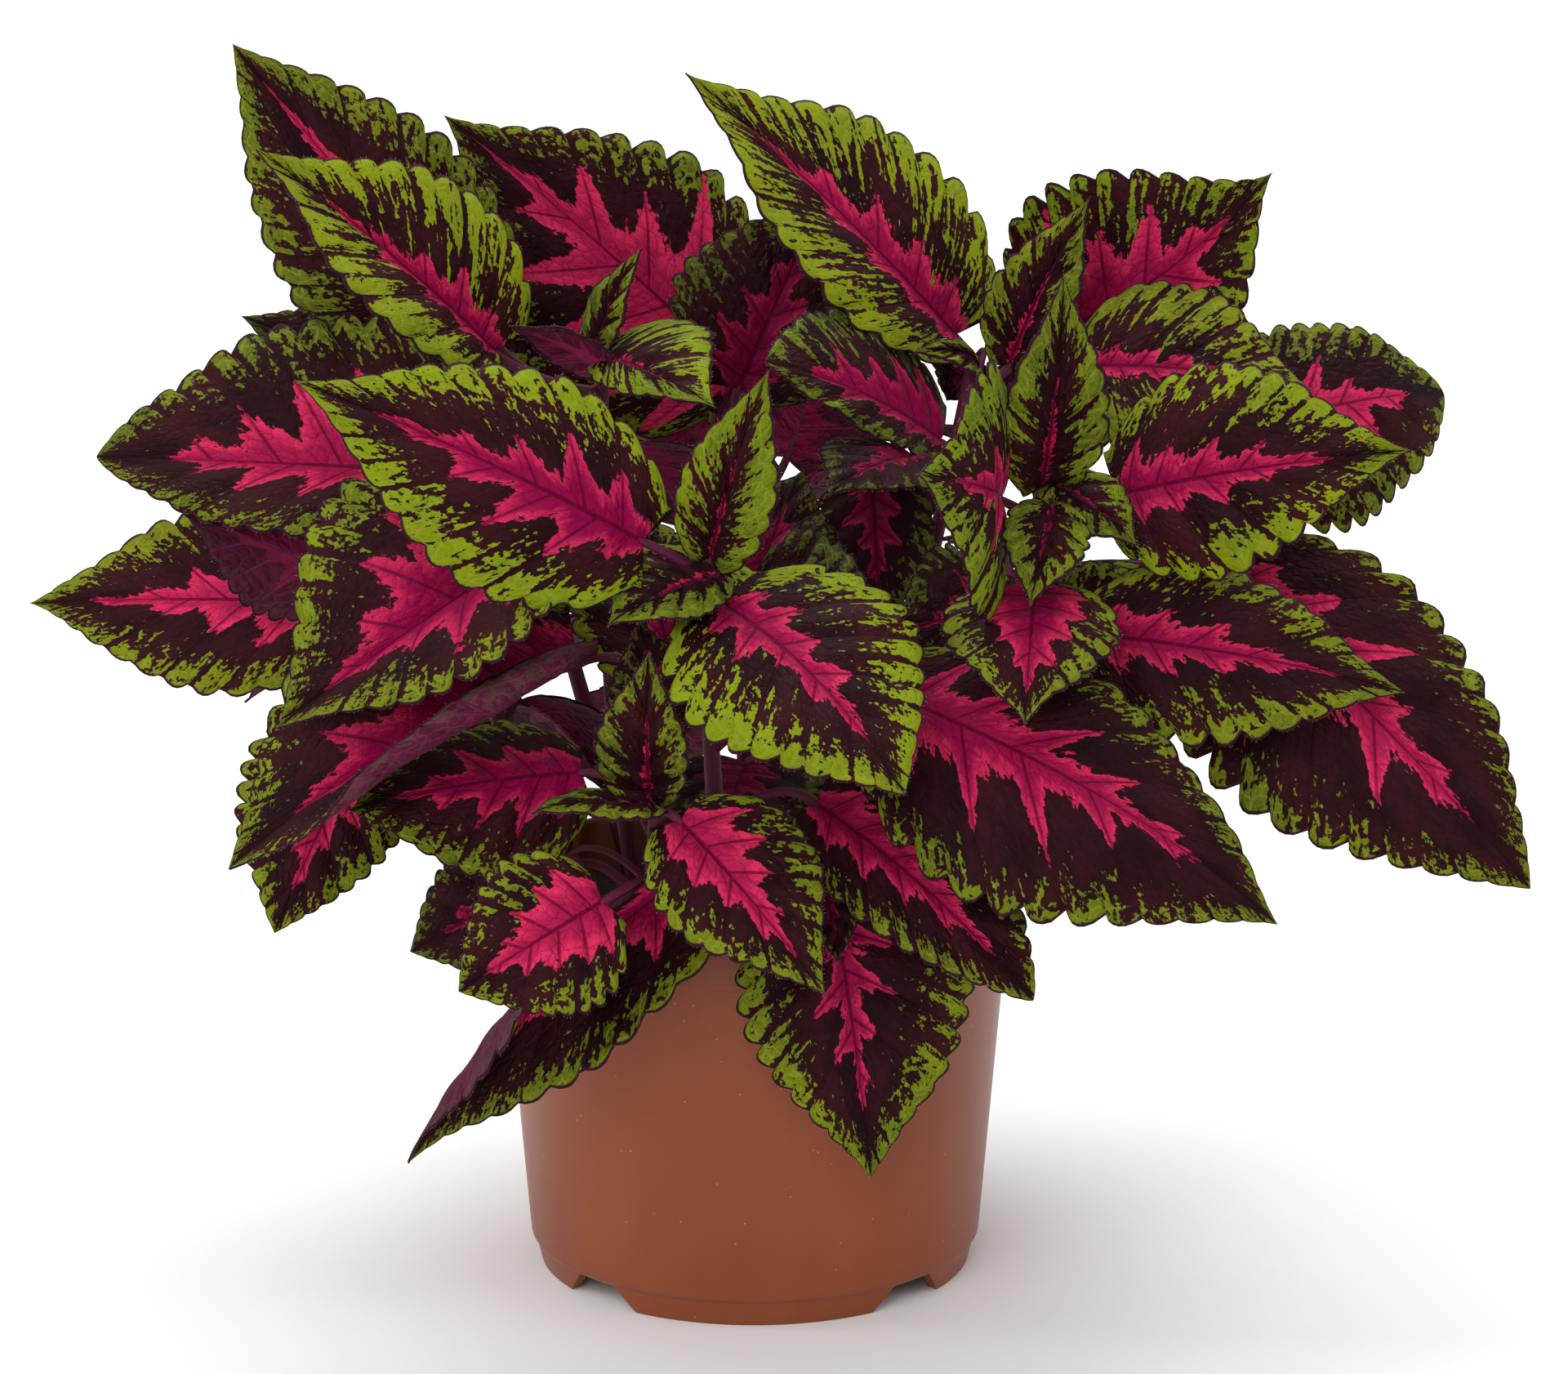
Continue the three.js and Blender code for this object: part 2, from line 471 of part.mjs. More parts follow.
function pot() {
  let body = turned([
    [0, FOOT_HEIGHT],
    [FOOT_TOP_RADIUS - FOOT_WIDTH, FOOT_HEIGHT],
    [FOOT_RADIUS - FOOT_WIDTH, 0],
    [FOOT_RADIUS, 0],
    [FOOT_TOP_RADIUS, FOOT_HEIGHT - FOOT_CORNER],
    [BODY_FOOT_RADIUS - STEP_BEVEL, STEP_HEIGHT - STEP_BEVEL],
    [BODY_FOOT_RADIUS, STEP_HEIGHT],
    [BODY_TOP_RADIUS, RIM_FOOT],
    [RIM_RADIUS, RIM_FOOT],
    [RIM_RADIUS, POT_HEIGHT - RIM_EDGE],
    [RIM_RADIUS - RIM_EDGE, POT_HEIGHT],
    [innerRadius(POT_HEIGHT), POT_HEIGHT],
    [innerRadius(FLOOR_TOP + INSIDE_CORNER), FLOOR_TOP + INSIDE_CORNER],
    [innerRadius(FLOOR_TOP) - INSIDE_CORNER, FLOOR_TOP],
    [0, FLOOR_TOP],
  ]);
  for (let i = 0; i < FOOT_GAPS; i++) {
    body = body.subtract(footGap().rotate([0, 0, (360 / FOOT_GAPS) * (i + 0.5)]));
  }
  const drains = [[0, 0]];
  for (let i = 0; i < DRAINS; i++) {
    const angle = (2 * Math.PI * i) / DRAINS;
    drains.push([DRAIN_RING * Math.cos(angle), DRAIN_RING * Math.sin(angle)]);
  }
  for (const [x, y] of drains) body = body.subtract(drain().translate([x, y, 0]));
  return body;
}

// The space between two feet, open below, on the +X side.
function footGap() {
  const box = new THREE.BoxGeometry(GAP_DEPTH, GAP_HALF_TOP, FOOT_HEIGHT + GAP_BELOW);
  box.translate(FOOT_RADIUS, 0, (FOOT_HEIGHT - GAP_BELOW) / 2);
  const position = box.attributes.position;
  for (let i = 0; i < position.count; i++) {
    const half = position.getZ(i) < 0 ? GAP_HALF_GROUND : GAP_HALF_TOP;
    position.setY(i, Math.sign(position.getY(i)) * half);
  }
  return solidOfGeometry(box);
}

function drain() {
  const hole = new THREE.CylinderGeometry(DRAIN_RADIUS, DRAIN_RADIUS, 3 * FLOOR, DRAIN_SIDES);
  hole.rotateX(Math.PI / 2);
  hole.translate(0, 0, FOOT_HEIGHT + FLOOR / 2);
  return solidOfGeometry(hole);
}

function soil() {
  const foot = FLOOR_TOP + CLEARANCE;
  const atWall = (height) => innerRadius(height) - CLEARANCE;
  let body = turned([
    [0, foot],
    [atWall(foot) - INSIDE_CORNER, foot],
    [atWall(foot + INSIDE_CORNER), foot + INSIDE_CORNER],
    [atWall(SOIL_EDGE), SOIL_EDGE],
    ...SOIL_RINGS,
    [0, SOIL_MIDDLE],
  ]);
  for (const { stem } of Object.values(SHOOTS)) body = body.subtract(stemHole(stem.map(vec)));
  return body;
}

// A stem's own path from just under its foot to above the soil, wider by the clearance at the flats.
function stemHole(path) {
  const down = path[0].clone().sub(path[1]).normalize();
  const foot = path[0].clone().addScaledVector(down, CLEARANCE);
  const wide = STEM_RADIUS + CLEARANCE * Math.SQRT2;
  return rod([foot, path[1]], [wide, wide], vec([0, 1, 0]));
}

// ---- the nodes ---------------------------------------------------------------------------------

const FINISH = {
  pot: { color: 0x8c4b32, roughness: 0.45 },
  soil: { color: 0x2b211b, roughness: 1 },
  leaf: { color: 0x6d7a1e, roughness: 0.6 },
};

function named(name, solid, finish) {
  const mesh = new THREE.Mesh(geometryOf(solid), new THREE.MeshStandardMaterial(finish));
  mesh.name = name;
  return mesh;
}

const coleus = new THREE.Group();
coleus.name = "coleus";
coleus.add(named("pot", pot(), FINISH.pot));
coleus.add(named("soil", soil(), FINISH.soil));
for (const [name, row] of Object.entries(SHOOTS)) {
  coleus.add(named(name, shoot(row), FINISH.leaf));
}

export default coleus;
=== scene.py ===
"""A coleus in its pot: leafy shoots with scalloped leaves that are pink in the middle, dark maroon round
that and yellow-green towards a purple edge, in a satin terracotta-brown plastic pot.

The table of shoots gives sizes and places in millimetres, with the origin on the ground, on the pot's
axis. Every mesh is made in millimetres and scaled to metres when it becomes a piece.
"""
import math

import bmesh
import bpy
import numpy as np
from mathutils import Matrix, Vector


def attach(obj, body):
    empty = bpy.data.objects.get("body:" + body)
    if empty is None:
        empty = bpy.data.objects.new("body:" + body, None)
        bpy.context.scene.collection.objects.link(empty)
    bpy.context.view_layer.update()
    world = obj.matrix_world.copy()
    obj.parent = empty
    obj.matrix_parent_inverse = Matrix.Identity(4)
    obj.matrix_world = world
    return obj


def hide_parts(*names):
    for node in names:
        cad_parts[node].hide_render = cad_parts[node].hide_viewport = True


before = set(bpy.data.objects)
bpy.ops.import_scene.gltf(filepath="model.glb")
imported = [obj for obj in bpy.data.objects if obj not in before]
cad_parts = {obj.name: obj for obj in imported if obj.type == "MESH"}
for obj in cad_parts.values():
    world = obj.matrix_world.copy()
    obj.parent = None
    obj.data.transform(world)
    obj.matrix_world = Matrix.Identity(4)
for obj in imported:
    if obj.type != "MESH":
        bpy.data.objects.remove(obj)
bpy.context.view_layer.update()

MM = 0.001

# ---- camera, in metres and degrees ----

IMAGE_WIDTH = 1920
FOCAL_PIXELS = 7725
SENSOR = 36.0  # millimetres
CAMERA_PLACE = (0.0073, -1.5, 0.556)
CAMERA_DOWN = 15.25
CAMERA_REACH = 100

# ---- the pot and the soil, in millimetres ----

POT_HEIGHT = 99
RIM_RADIUS = 65
RIM_BAND = 10.2
RIM_BEVEL = 0.4
BODY_TOP_RADIUS = 63.2
BODY_FOOT_RADIUS = 56.3
WALL = 1.6
FLOOR = 2.5
STEP_HEIGHT = 7.4
STEP_IN, STEP_DOWN = 0.5, 0.6
FOOT_HEIGHT = 6.4
FOOT_BEVEL = 0.2
FOOT_TOP_RADIUS = 55.2
FOOT_RADIUS = 53.8
FOOT_WIDTH = 3.2
FOOT_GAPS = 4
GAP_HALF_TOP = 6
GAP_HALF_GROUND = 12.5
GAP_BEYOND, GAP_BELOW = 10, 1  # how far the space between two feet is cut past them
DRAIN_RADIUS = 4.5
DRAIN_RING = 34
DRAINS = 6
DRAIN_SIDES = 32
POT_SIDES = 192
POT_ROUNDING = 0.55
SHARP_ANGLE = 35  # degrees, above which an edge of the pot is drawn sharp
SOIL_EDGE = 86
SOIL_MIDDLE = 91.4
SOIL_OFF_FLOOR, SOIL_OFF_FOOT, SOIL_OFF_RIM = 0.5, 1.2, 0.9  # how far it stays off the pot
SOIL_SIDES = 120
SOIL_RINGS = 46
SOIL_WAVES = 60  # waves that add up to the lumps
SOIL_WAVINESS = (0.08, 0.9)  # radians to a millimetre
LUMP_HEIGHT = 0.08  # of each wave
GRAIN_HEIGHT = 0.35
SOIL_SEED = 7
STAGE_HALF = 14000  # half the width of the floor that it stands on

# ---- the leaves, in millimetres, degrees and shares ----

WIDEST = 0.35  # share of the blade's length at which it is widest
BASE_ROUND = 0.4  # share of the length over which the outline rounds off towards the base
HEEL = -0.02  # where, behind the base, the lobes get no narrower
VEIN_AT_MIDRIB = 1.5  # how the side veins crowd towards the base along the midrib
VEIN_AT_MARGIN = 1.4  # and towards the tip along the margin
CORDATE_SHARP = 8  # how soon the lobes at the base end
FOLD_AT_BASE = 1.15  # the fold at the base, as a share of the leaf's own
FOLD_LOST = 0.9  # and how much of it is lost towards the tip
ROLL_FADE = 0.3  # share of the length over which a rolled margin begins and ends
# What a leaf's shape is made of, where its row says nothing else.
PLAIN_SHAPE = dict(
    arch=0.06,  # how far the midrib bows up, as a share of the length
    fold=12,  # how far both halves rise from the midrib
    curl=-15,  # how much more they rise at the margin
    skew=0,  # how much wider the left half is, and narrower the right one
    taper=1.3,  # how slender the tip is
    cordate=0.04,  # how far the lobes at the base reach back, as a share of the length
    sway=0,  # how far the midrib bows to the left, as a share of the length
    # a rolled margin: its side, 1 left or -1 right, the share of the half width from which it rolls,
    # the shares of the length between which it does, and how far it turns
    roll=(1, 0, 0, 1, 0),
)
# For leaves wider than the first number: the side veins on each side and the columns on each half.
BY_WIDTH = ((50, 6.5, 12), (30, 6.0, 9), (0, 5.0, 7))
# The rows of points to each tooth, and how far the blade puffs up and waves.
LARGE_LEAF = dict(rows=6, puff=0.55, wave=0.9)
SMALL_LEAF = dict(rows=5, puff=0.7, wave=0.4)
LARGE = 40  # width
FULLY_RIBBED = 50  # width from which the ribs below are at their highest
STAGGERS, WAVES = (0.15, 0.45), (2.2, 3.4)  # between which a leaf draws its own
FIRST_SEED = 1000
SEED_STEP = 3.7
COLUMN_CROWDING = 1.35  # how the columns crowd towards the midrib
BLADE = 0.55  # thickness of a blade
TOOTH_DEPTH = 0.12  # of the half width
TOOTH_DEPTHS = (0.7, 1.25)  # how that varies from tooth to tooth
TOOTH_ROUND, TOOTH_LEAN = 0.6, 1.25
TOOTH_INWARDS = 3  # how soon a tooth is lost towards the midrib
MOST_TEETH = 100  # on one margin
MIDRIB_WIDTH, MIDRIB_RIDGE, MIDRIB_GROOVE = 1.1, 0.9, 0.25  # raised below, sunken above
VEIN_WIDTH, VEIN_RIDGE = 0.8, 0.3
HAIRS_PER_ROW = 0.7
HAIR_RADIUS = 0.05
HAIR_ANGLES = (0.0, 2.1, 4.2)  # radians, of a hair's three edges
HAIR_FACES = ((0, 1, 3), (1, 2, 3), (2, 0, 3), (2, 1, 0))
HAIR_LENGTHS = (0.35, 0.9)
HAIR_SCATTER = 0.35
STEM_RADIUS, STEM_TIP_RADIUS = 2.58, 1.462
STEM_SIDES, STEM_SQUARE, STEM_STEPS = 16, 0.75, 10
PETIOLE_RADII = (1.75, 1.35, 1.1, 0.35)
PETIOLE_RINGS = (0, 2, 11, 14)  # the rings that have those radii
PETIOLE_UNDER = (0.06, 0.12, 0.2)  # where the last ones lie under the midrib
PETIOLE_SIDES, PETIOLE_SQUARE = 8, 0.2
PETIOLE_CLIMB = 0.35  # how steeply a petiole rises from the stem
PETIOLE_SEAT = 2  # how much lower it leaves it
PETIOLE_BEND = 0.4  # how far behind the blade its bend lies, as a share of its length
PETIOLE_BELOW, PETIOLE_END_BELOW = 0.5, 0.75  # how far it stays under the blade
YOUNG = 30  # a leaf less wide than this is a young one
YOUNG_PETIOLE = 0.7  # how thick its petiole is beside another's

# The bake's map: the upper skin lies in its left half and the lower one beside it, with the rim in a
# strip round the lower one and the hairs in a strip at the right.
MAP_MIDDLE, MAP_WIDTH = 0.245, 0.44
MAP_FOOT, MAP_HEIGHT = 0.03, 0.93
MAP_HEEL = 0.15  # share of the length kept for the lobes at the base
LOWER_SHIFT = 0.48
LOWER_CENTRE = (0.725, 0.4)
RIM_STRIP = 0.006
HAIR_STRIP, HAIR_STEP, HAIR_WIDTH, HAIR_TIP = 0.975, 0.006, 0.005, 0.002
HAIR_SHARE = 0.6  # how much of its step up the strip a hair fills

SHOOTS = {}


def shoot(name, stem, *leaves):
    """Adds a shoot: the points that its stem passes, from the soil up, and its leaves."""
    SHOOTS[name] = (stem, leaves)


def leaf_at(base, tip, width, face, look, **more):
    """A leaf: where its blade starts and ends, how wide it is, where its upper side faces, the look of
    its pattern, and what its shape and its pattern have of their own."""
    return dict(base=base, tip=tip, width=width, face=face, look=look, **more)


def rear_leaf(*given):
    """A leaf at the back or deep in the plant, which arches a little more."""
    return leaf_at(*given, arch=0.08)


shoot(
    "shoot_front", [(-8, -28, 70), (-9, -40, 120), (-11, -50, 165), (-11, -55, 191)],
    leaf_at((-26, -60, 199), (-107, -62, 238), 57, (0, -8, 5), "plain", skew=0.05, Core=0.24, Lobe=0.34,
            Green=0.7, Rose=0.4, Light=0.9),
    leaf_at((-51, -42, 193), (-112, -70, 156), 80, (-3, -6, 7), "rosy", arch=0.02, fold=34, skew=-0.06,
            Core=0.52, Lobe=0.34, Green=0.8, Rose=0.3, Light=0.4),
    leaf_at((-42, -48, 166), (-124, -72, 122), 80, (-4, -5, 8), "rosy", fold=38,
            roll=(1, 0.62, -0.3, 0.75, 150), skew=-0.08, taper=1.1, Core=0.4, Lobe=0.34, Green=0.88,
            Rose=0.3),
    leaf_at((15, -58, 134), (66, -86, 94), 39, (1, -8, 5), "plain", skew=0.12, taper=0.8, sway=0.02,
            Core=0.34, Lobe=0.3, Green=0.84, Light=0.35),
    leaf_at((32, -58, 161), (124, -74, 109), 67, (1, -8, 6), "night", arch=0.12, fold=2, skew=-0.13,
            taper=1.1, Lobe=0.5, LobeWidth=0.22),
    leaf_at((-10, -56, 194), (4, -62, 241), 27, (-3, -9, 2), "young", fold=30, skew=-0.1),
    leaf_at((-8, -58, 190), (-34, -74, 182), 34, (-2, -5, 8), "young", skew=-0.25),
    leaf_at((-7, -62, 184), (35, -105, 150), 62, (1, -7, 7), "plain", taper=0.95, cordate=0.12, sway=0.03,
            Core=0.18, Lobe=0.26, Green=0.65, Streak=0.5, Light=0.9),
    leaf_at((-1, -48, 175), (36, -52, 174), 50, (0, -8, 5), "shade"),
    rear_leaf((-4, -38, 166), (12, 0, 202), 44, (0, -4, 9), "shade"),
    rear_leaf((-18, -42, 160), (-34, -4, 196), 42, (-1, -4, 9), "plain"),
)
shoot(
    "shoot_right", [(34, -20, 70), (46, -25, 120), (60, -28, 165), (69, -30, 205)],
    leaf_at((80, -36, 170), (156, -46, 158), 48, (0, -8, 6), "plain", skew=-0.05, Core=0.26, Lobe=0.26,
            Warm=0.65),
    leaf_at((88, -22, 201), (155, -52, 219), 55, (0, -9, 5), "plain", skew=0.05, Core=0.24, Lobe=0.3,
            Light=0.8, Green=0.72),
    leaf_at((80, 8, 226), (135, -5, 223), 54, (0, -7, 7), "lime", Core=0.14, Lobe=0.16, Light=0.45),
    leaf_at((69, -30, 206), (73, -45, 260), 28, (2, -10, 2), "young", fold=28, Core=0.09, Green=0.55),
    leaf_at((67, -45, 183), (63, -92, 163), 43, (0, -4, 9), "plain", cordate=0.14, Core=0.56, Lobe=0.3),
    leaf_at((59, -35, 203), (38, -85, 221), 62, (9, -4, 1), "frosted", arch=0.1, Green=0.6, Light=0.65),
    leaf_at((72, -31, 206), (91, -45, 194), 26, (1, -4, 9), "young"),
    leaf_at((71, -44, 203), (65, -66, 185), 22, (0, -9, 5), "young", fold=20),
    leaf_at((61, -28, 175), (32, -42, 171), 38, (0, -8, 5), "shade"),
    leaf_at((73, -15, 165), (107, -5, 171), 30, (0, -8, 5), "plain", Warm=0.7),
    rear_leaf((60, -14, 186), (64, 20, 172), 34, (1, 2, 10), "plain"),
)
shoot(
    "shoot_low", [(-22, -40, 70), (-24, -48, 102), (-24, -60, 118), (-23, -76, 138)],
    leaf_at((-41, -55, 141), (-96, -60, 133), 50, (0, -7, 7), "plain", fold=-12, taper=1.1, Core=0.34,
            Rose=0.3, Light=0.3),
    leaf_at((-44, -50, 116), (-83, -45, 93), 39, (0, -9, 4), "shade", taper=1, Light=0.3),
    leaf_at((-35, -98, 122), (-68, -110, 104), 42, (0, -9, 4), "rosy", taper=0.95, Core=0.5, Lobe=0.24,
            Rose=0.75, Green=0.74),
    leaf_at((-12, -68, 122), (-83, -68, 47), 54, (4, -9, 0), "night", fold=26,
            roll=(-1, 0.15, 0.3, 1.5, 120), curl=24, skew=-0.1, sway=-0.1, Core=0.3, Lobe=0.3,
            Green=0.86),
    leaf_at((18, -62, 115), (28, -78, 47), 59, (2, -10, 3), "plain", skew=0.08, taper=1.15, Core=0.16,
            Lobe=0.3, LobeWidth=0.32),
    leaf_at((-17, -86, 138), (17, -114, 104), 41, (1, -8, 6), "plain", skew=0.05, Core=0.4, Rose=0.75),
    leaf_at((-24, -77, 141), (-24, -84, 179), 24, (-2, -9, 3), "young", fold=25, skew=0.08, Core=0.09,
            Green=0.6, Light=0.15),
    leaf_at((-23, -79, 139), (-52, -90, 141), 28, (0, 0, 10), "young"),
    leaf_at((-21, -58, 151), (-27, -56, 179), 24, (0, -9, 4), "shade"),
    leaf_at((-43, -60, 123), (-68, -62, 112), 26, (0, 10, 0), "shade"),
    leaf_at((16, -63, 116), (20, -76, 100), 16, (4, -9, 2), "shade"),
)
shoot(
    "shoot_left_rear", [(-26, 2, 70), (-34, 4, 130), (-37, 5, 190), (-37, 5, 229)],
    leaf_at((-68, 30, 231), (-128, 35, 301), 57, (-3, -9, 4), "olive", fold=15, skew=0.06, taper=1.1,
            Core=0.3, Lobe=0.12, PinkEnd=1, Rose=0.8, Green=0.76),
    leaf_at((-63, 2, 231), (-119, -10, 283), 54, (4, -6, 6), "lime", arch=0.03, fold=33, Core=0.2,
            Lobe=0.22),
    leaf_at((-39, 4, 229), (-27, 0, 257), 16, (-8, -6, 2), "young", fold=20),
    leaf_at((-37, 0, 230), (-9, -38, 226), 30, (-1, -7, 7), "young", fold=10, skew=0.4, Green=0.43,
            Streak=1.0, VeinDark=0.5, Light=0.6),
    leaf_at((-35, -4, 227), (-59, -10, 240), 13, (0, 9, 5), "night", fold=10, Light=0.1),
    rear_leaf((-42, 18, 186), (-72, 50, 168), 42, (-2, 3, 9), "shade"),
    rear_leaf((-32, 14, 204), (-14, 46, 172), 44, (0, 4, 9), "plain"),
)
shoot(
    "shoot_right_rear", [(20, 14, 70), (34, 18, 130), (46, 20, 185), (54, 20, 226)],
    leaf_at((50, 45, 226), (-17, 40, 293), 62, (4, -6, 6), "lime", fold=25, skew=-0.03, taper=1.35,
            sway=0.03, Green=0.61),
    leaf_at((74, 45, 226), (127, 25, 271), 70, (0, -9, 4), "frosted", fold=5, curl=10, taper=1.4,
            sway=-0.07, Core=0.46, Lobe=0.5, Green=0.8),
    leaf_at((55, 15, 224), (38, 5, 230), 9, (0, -7, 7), "young", arch=0.2),
    leaf_at((63, 20, 224), (82, 18, 266), 25, (-4, -9, 2), "young", fold=25, Core=0.1, Lobe=0.1,
            Green=0.6, Warm=0.55, Light=0.3),
    leaf_at((46, 18, 205), (3, -14, 232), 42, (0, -7, 7), "frosted", skew=-0.42, taper=0.7, Core=0.36,
            Lobe=0.42, Green=0.75, Rose=0.05, Light=0.2),
    leaf_at((39, 0, 205), (18, -35, 204), 34, (0, -4, 9), "shade"),
    leaf_at((29, 10, 199), (31, -8, 161), 31, (0, -9, 4), "shade"),
    leaf_at((55, 44, 220), (48, 46, 209), 20, (0, -9, 4), "shade"),
    rear_leaf((56, 30, 202), (62, 64, 192), 40, (1, 3, 9), "shade"),
)
shoot(
    "shoot_left", [(-42, -8, 70), (-54, -6, 110), (-66, 0, 150), (-72, 6, 186)],
    leaf_at((-72, -5, 202), (-161, 5, 204), 67, (-1, -7, 7), "olive", arch=0.01, fold=25, skew=-0.25,
            taper=0.8, Green=0.86, Core=0.34, Rose=0.6),
    leaf_at((-80, 30, 211), (-127, 30, 234), 36, (0, -8, 5), "shade"),
    leaf_at((-100, 14, 165), (-183, 40, 158), 49, (-1, -9, 4), "plain", Lobe=0.34, Rose=0.85, Warm=0.85),
    leaf_at((-101, -5, 177), (-139, -5, 192), 36, (0, 10, 0), "shade"),
    leaf_at((-94, -12, 139), (-117, -30, 93), 45, (-1, -9, 4), "plain", skew=-0.15, taper=1, Rose=0.75,
            Warm=0.7),
    rear_leaf((-84, 24, 150), (-130, 48, 130), 46, (-4, 3, 9), "lime"),
    rear_leaf((-72, 24, 136), (-112, 48, 106), 44, (-5, 4, 8), "plain"),
    rear_leaf((-58, 6, 142), (-38, 38, 109), 38, (1, 4, 8), "shade"),
)
shoot(
    "shoot_right_low", [(44, 6, 70), (55, 8, 102), (80, 8, 140), (100, 8, 184)],
    leaf_at((114, -10, 178), (186, -55, 112), 72, (2, -9, 4), "night", skew=-0.12, taper=0.95, Core=0.3,
            Rose=0.6),
    leaf_at((115, 8, 208), (171, 30, 214), 56, (-2, -9, 4), "olive", arch=0.18, fold=0, skew=-0.1,
            taper=0.7, Rose=0.85, Core=0.26),
    rear_leaf((106, 18, 158), (150, 50, 132), 48, (4, 4, 8), "night"),
    rear_leaf((104, 20, 188), (146, 58, 186), 50, (1, 1, 10), "rosy"),
    rear_leaf((76, 28, 130), (108, 52, 106), 42, (5, 4, 7), "plain"),
    rear_leaf((96, 18, 164), (98, 52, 156), 40, (1, 3, 9), "plain"),
)
shoot(
    "shoot_rear", [(0, 30, 70), (-3, 46, 130), (-4, 58, 180), (-4, 64, 206)],
    leaf_at((-6, 75, 211), (-78, 65, 278), 76, (1, -9, 4), "rosy", skew=0.08, Core=0.46, Lobe=0.7,
            LobeWidth=0.34, PinkEnd=1.05, Rose=0.8, Green=0.85, Light=0.3),
    leaf_at((-4, 52, 211), (18, 62, 260), 50, (1, -9, 4), "shade", skew=0.05),
    rear_leaf((0, 76, 207), (10, 88, 234), 20, (0, 9, 4), "young"),
    rear_leaf((-15, 82, 190), (-54, 100, 246), 54, (-2, 8, 5), "olive"),
    rear_leaf((8, 82, 186), (34, 102, 244), 56, (1, 9, 5), "lime"),
    rear_leaf((-14, 78, 184), (-62, 108, 176), 56, (-2, 6, 8), "plain"),
    rear_leaf((12, 80, 180), (54, 112, 168), 54, (2, 6, 8), "night"),
    rear_leaf((-2, 80, 160), (-6, 117, 122), 56, (0, 9, 5), "rosy"),
    rear_leaf((-20, 68, 128), (-34, 102, 88), 46, (-1, 9, 5), "plain"),
    rear_leaf((16, 70, 124), (10, 104, 84), 44, (0, 9, 4), "olive"),
    rear_leaf((-2, 26, 120), (-9, -14, 106), 46, (0, -1, 10), "shade"),
)
shoot(
    "shoot_rear_left", [(-26, 32, 70), (-38, 46, 110), (-52, 56, 160), (-58, 60, 196)],
    rear_leaf((-58, 64, 197), (-66, 74, 222), 20, (0, 8, 6), "young"),
    rear_leaf((-66, 62, 188), (-114, 84, 204), 50, (-3, 6, 7), "lime"),
    rear_leaf((-60, 70, 176), (-88, 112, 160), 54, (-3, 6, 7), "plain"),
    rear_leaf((-68, 58, 164), (-126, 78, 146), 52, (-4, 4, 8), "night"),
    rear_leaf((-54, 66, 146), (-74, 108, 112), 54, (-3, 7, 6), "rosy"),
    rear_leaf((-50, 56, 124), (-98, 76, 92), 44, (-5, 5, 7), "plain"),
)
shoot(
    "shoot_rear_right", [(26, 34, 70), (38, 48, 110), (54, 58, 160), (60, 62, 190)],
    rear_leaf((60, 66, 191), (68, 76, 216), 20, (0, 8, 6), "young"),
    rear_leaf((66, 68, 188), (114, 92, 202), 52, (3, 6, 7), "lime"),
    rear_leaf((72, 62, 160), (128, 84, 146), 54, (4, 4, 8), "plain"),
    rear_leaf((60, 72, 156), (82, 113, 134), 54, (2, 7, 7), "night"),
    rear_leaf((52, 60, 134), (96, 84, 104), 48, (5, 6, 6), "rosy"),
    rear_leaf((36, 72, 140), (46, 112, 108), 50, (1, 8, 6), "plain"),
)

# ---- arithmetic on the sockets of a node tree ----


def operator(operation, swapped=False):
    """Makes one of Value's operators."""

    def method(self, *other):
        return self.net.math(operation, *((*other, self) if swapped else (self, *other)))

    return method


class Value:
    """A number or colour that a node gives, with Python's own arithmetic."""

    def __init__(self, net, socket):
        self.net = net
        self.socket = socket

    __add__, __radd__ = operator("ADD"), operator("ADD", True)
    __sub__, __rsub__ = operator("SUBTRACT"), operator("SUBTRACT", True)
    __mul__, __rmul__ = operator("MULTIPLY"), operator("MULTIPLY", True)
    __truediv__ = operator("DIVIDE")
    __pow__ = operator("POWER")
    __abs__ = operator("ABSOLUTE")
    __round__ = operator("ROUND")
    __gt__ = operator("GREATER_THAN")


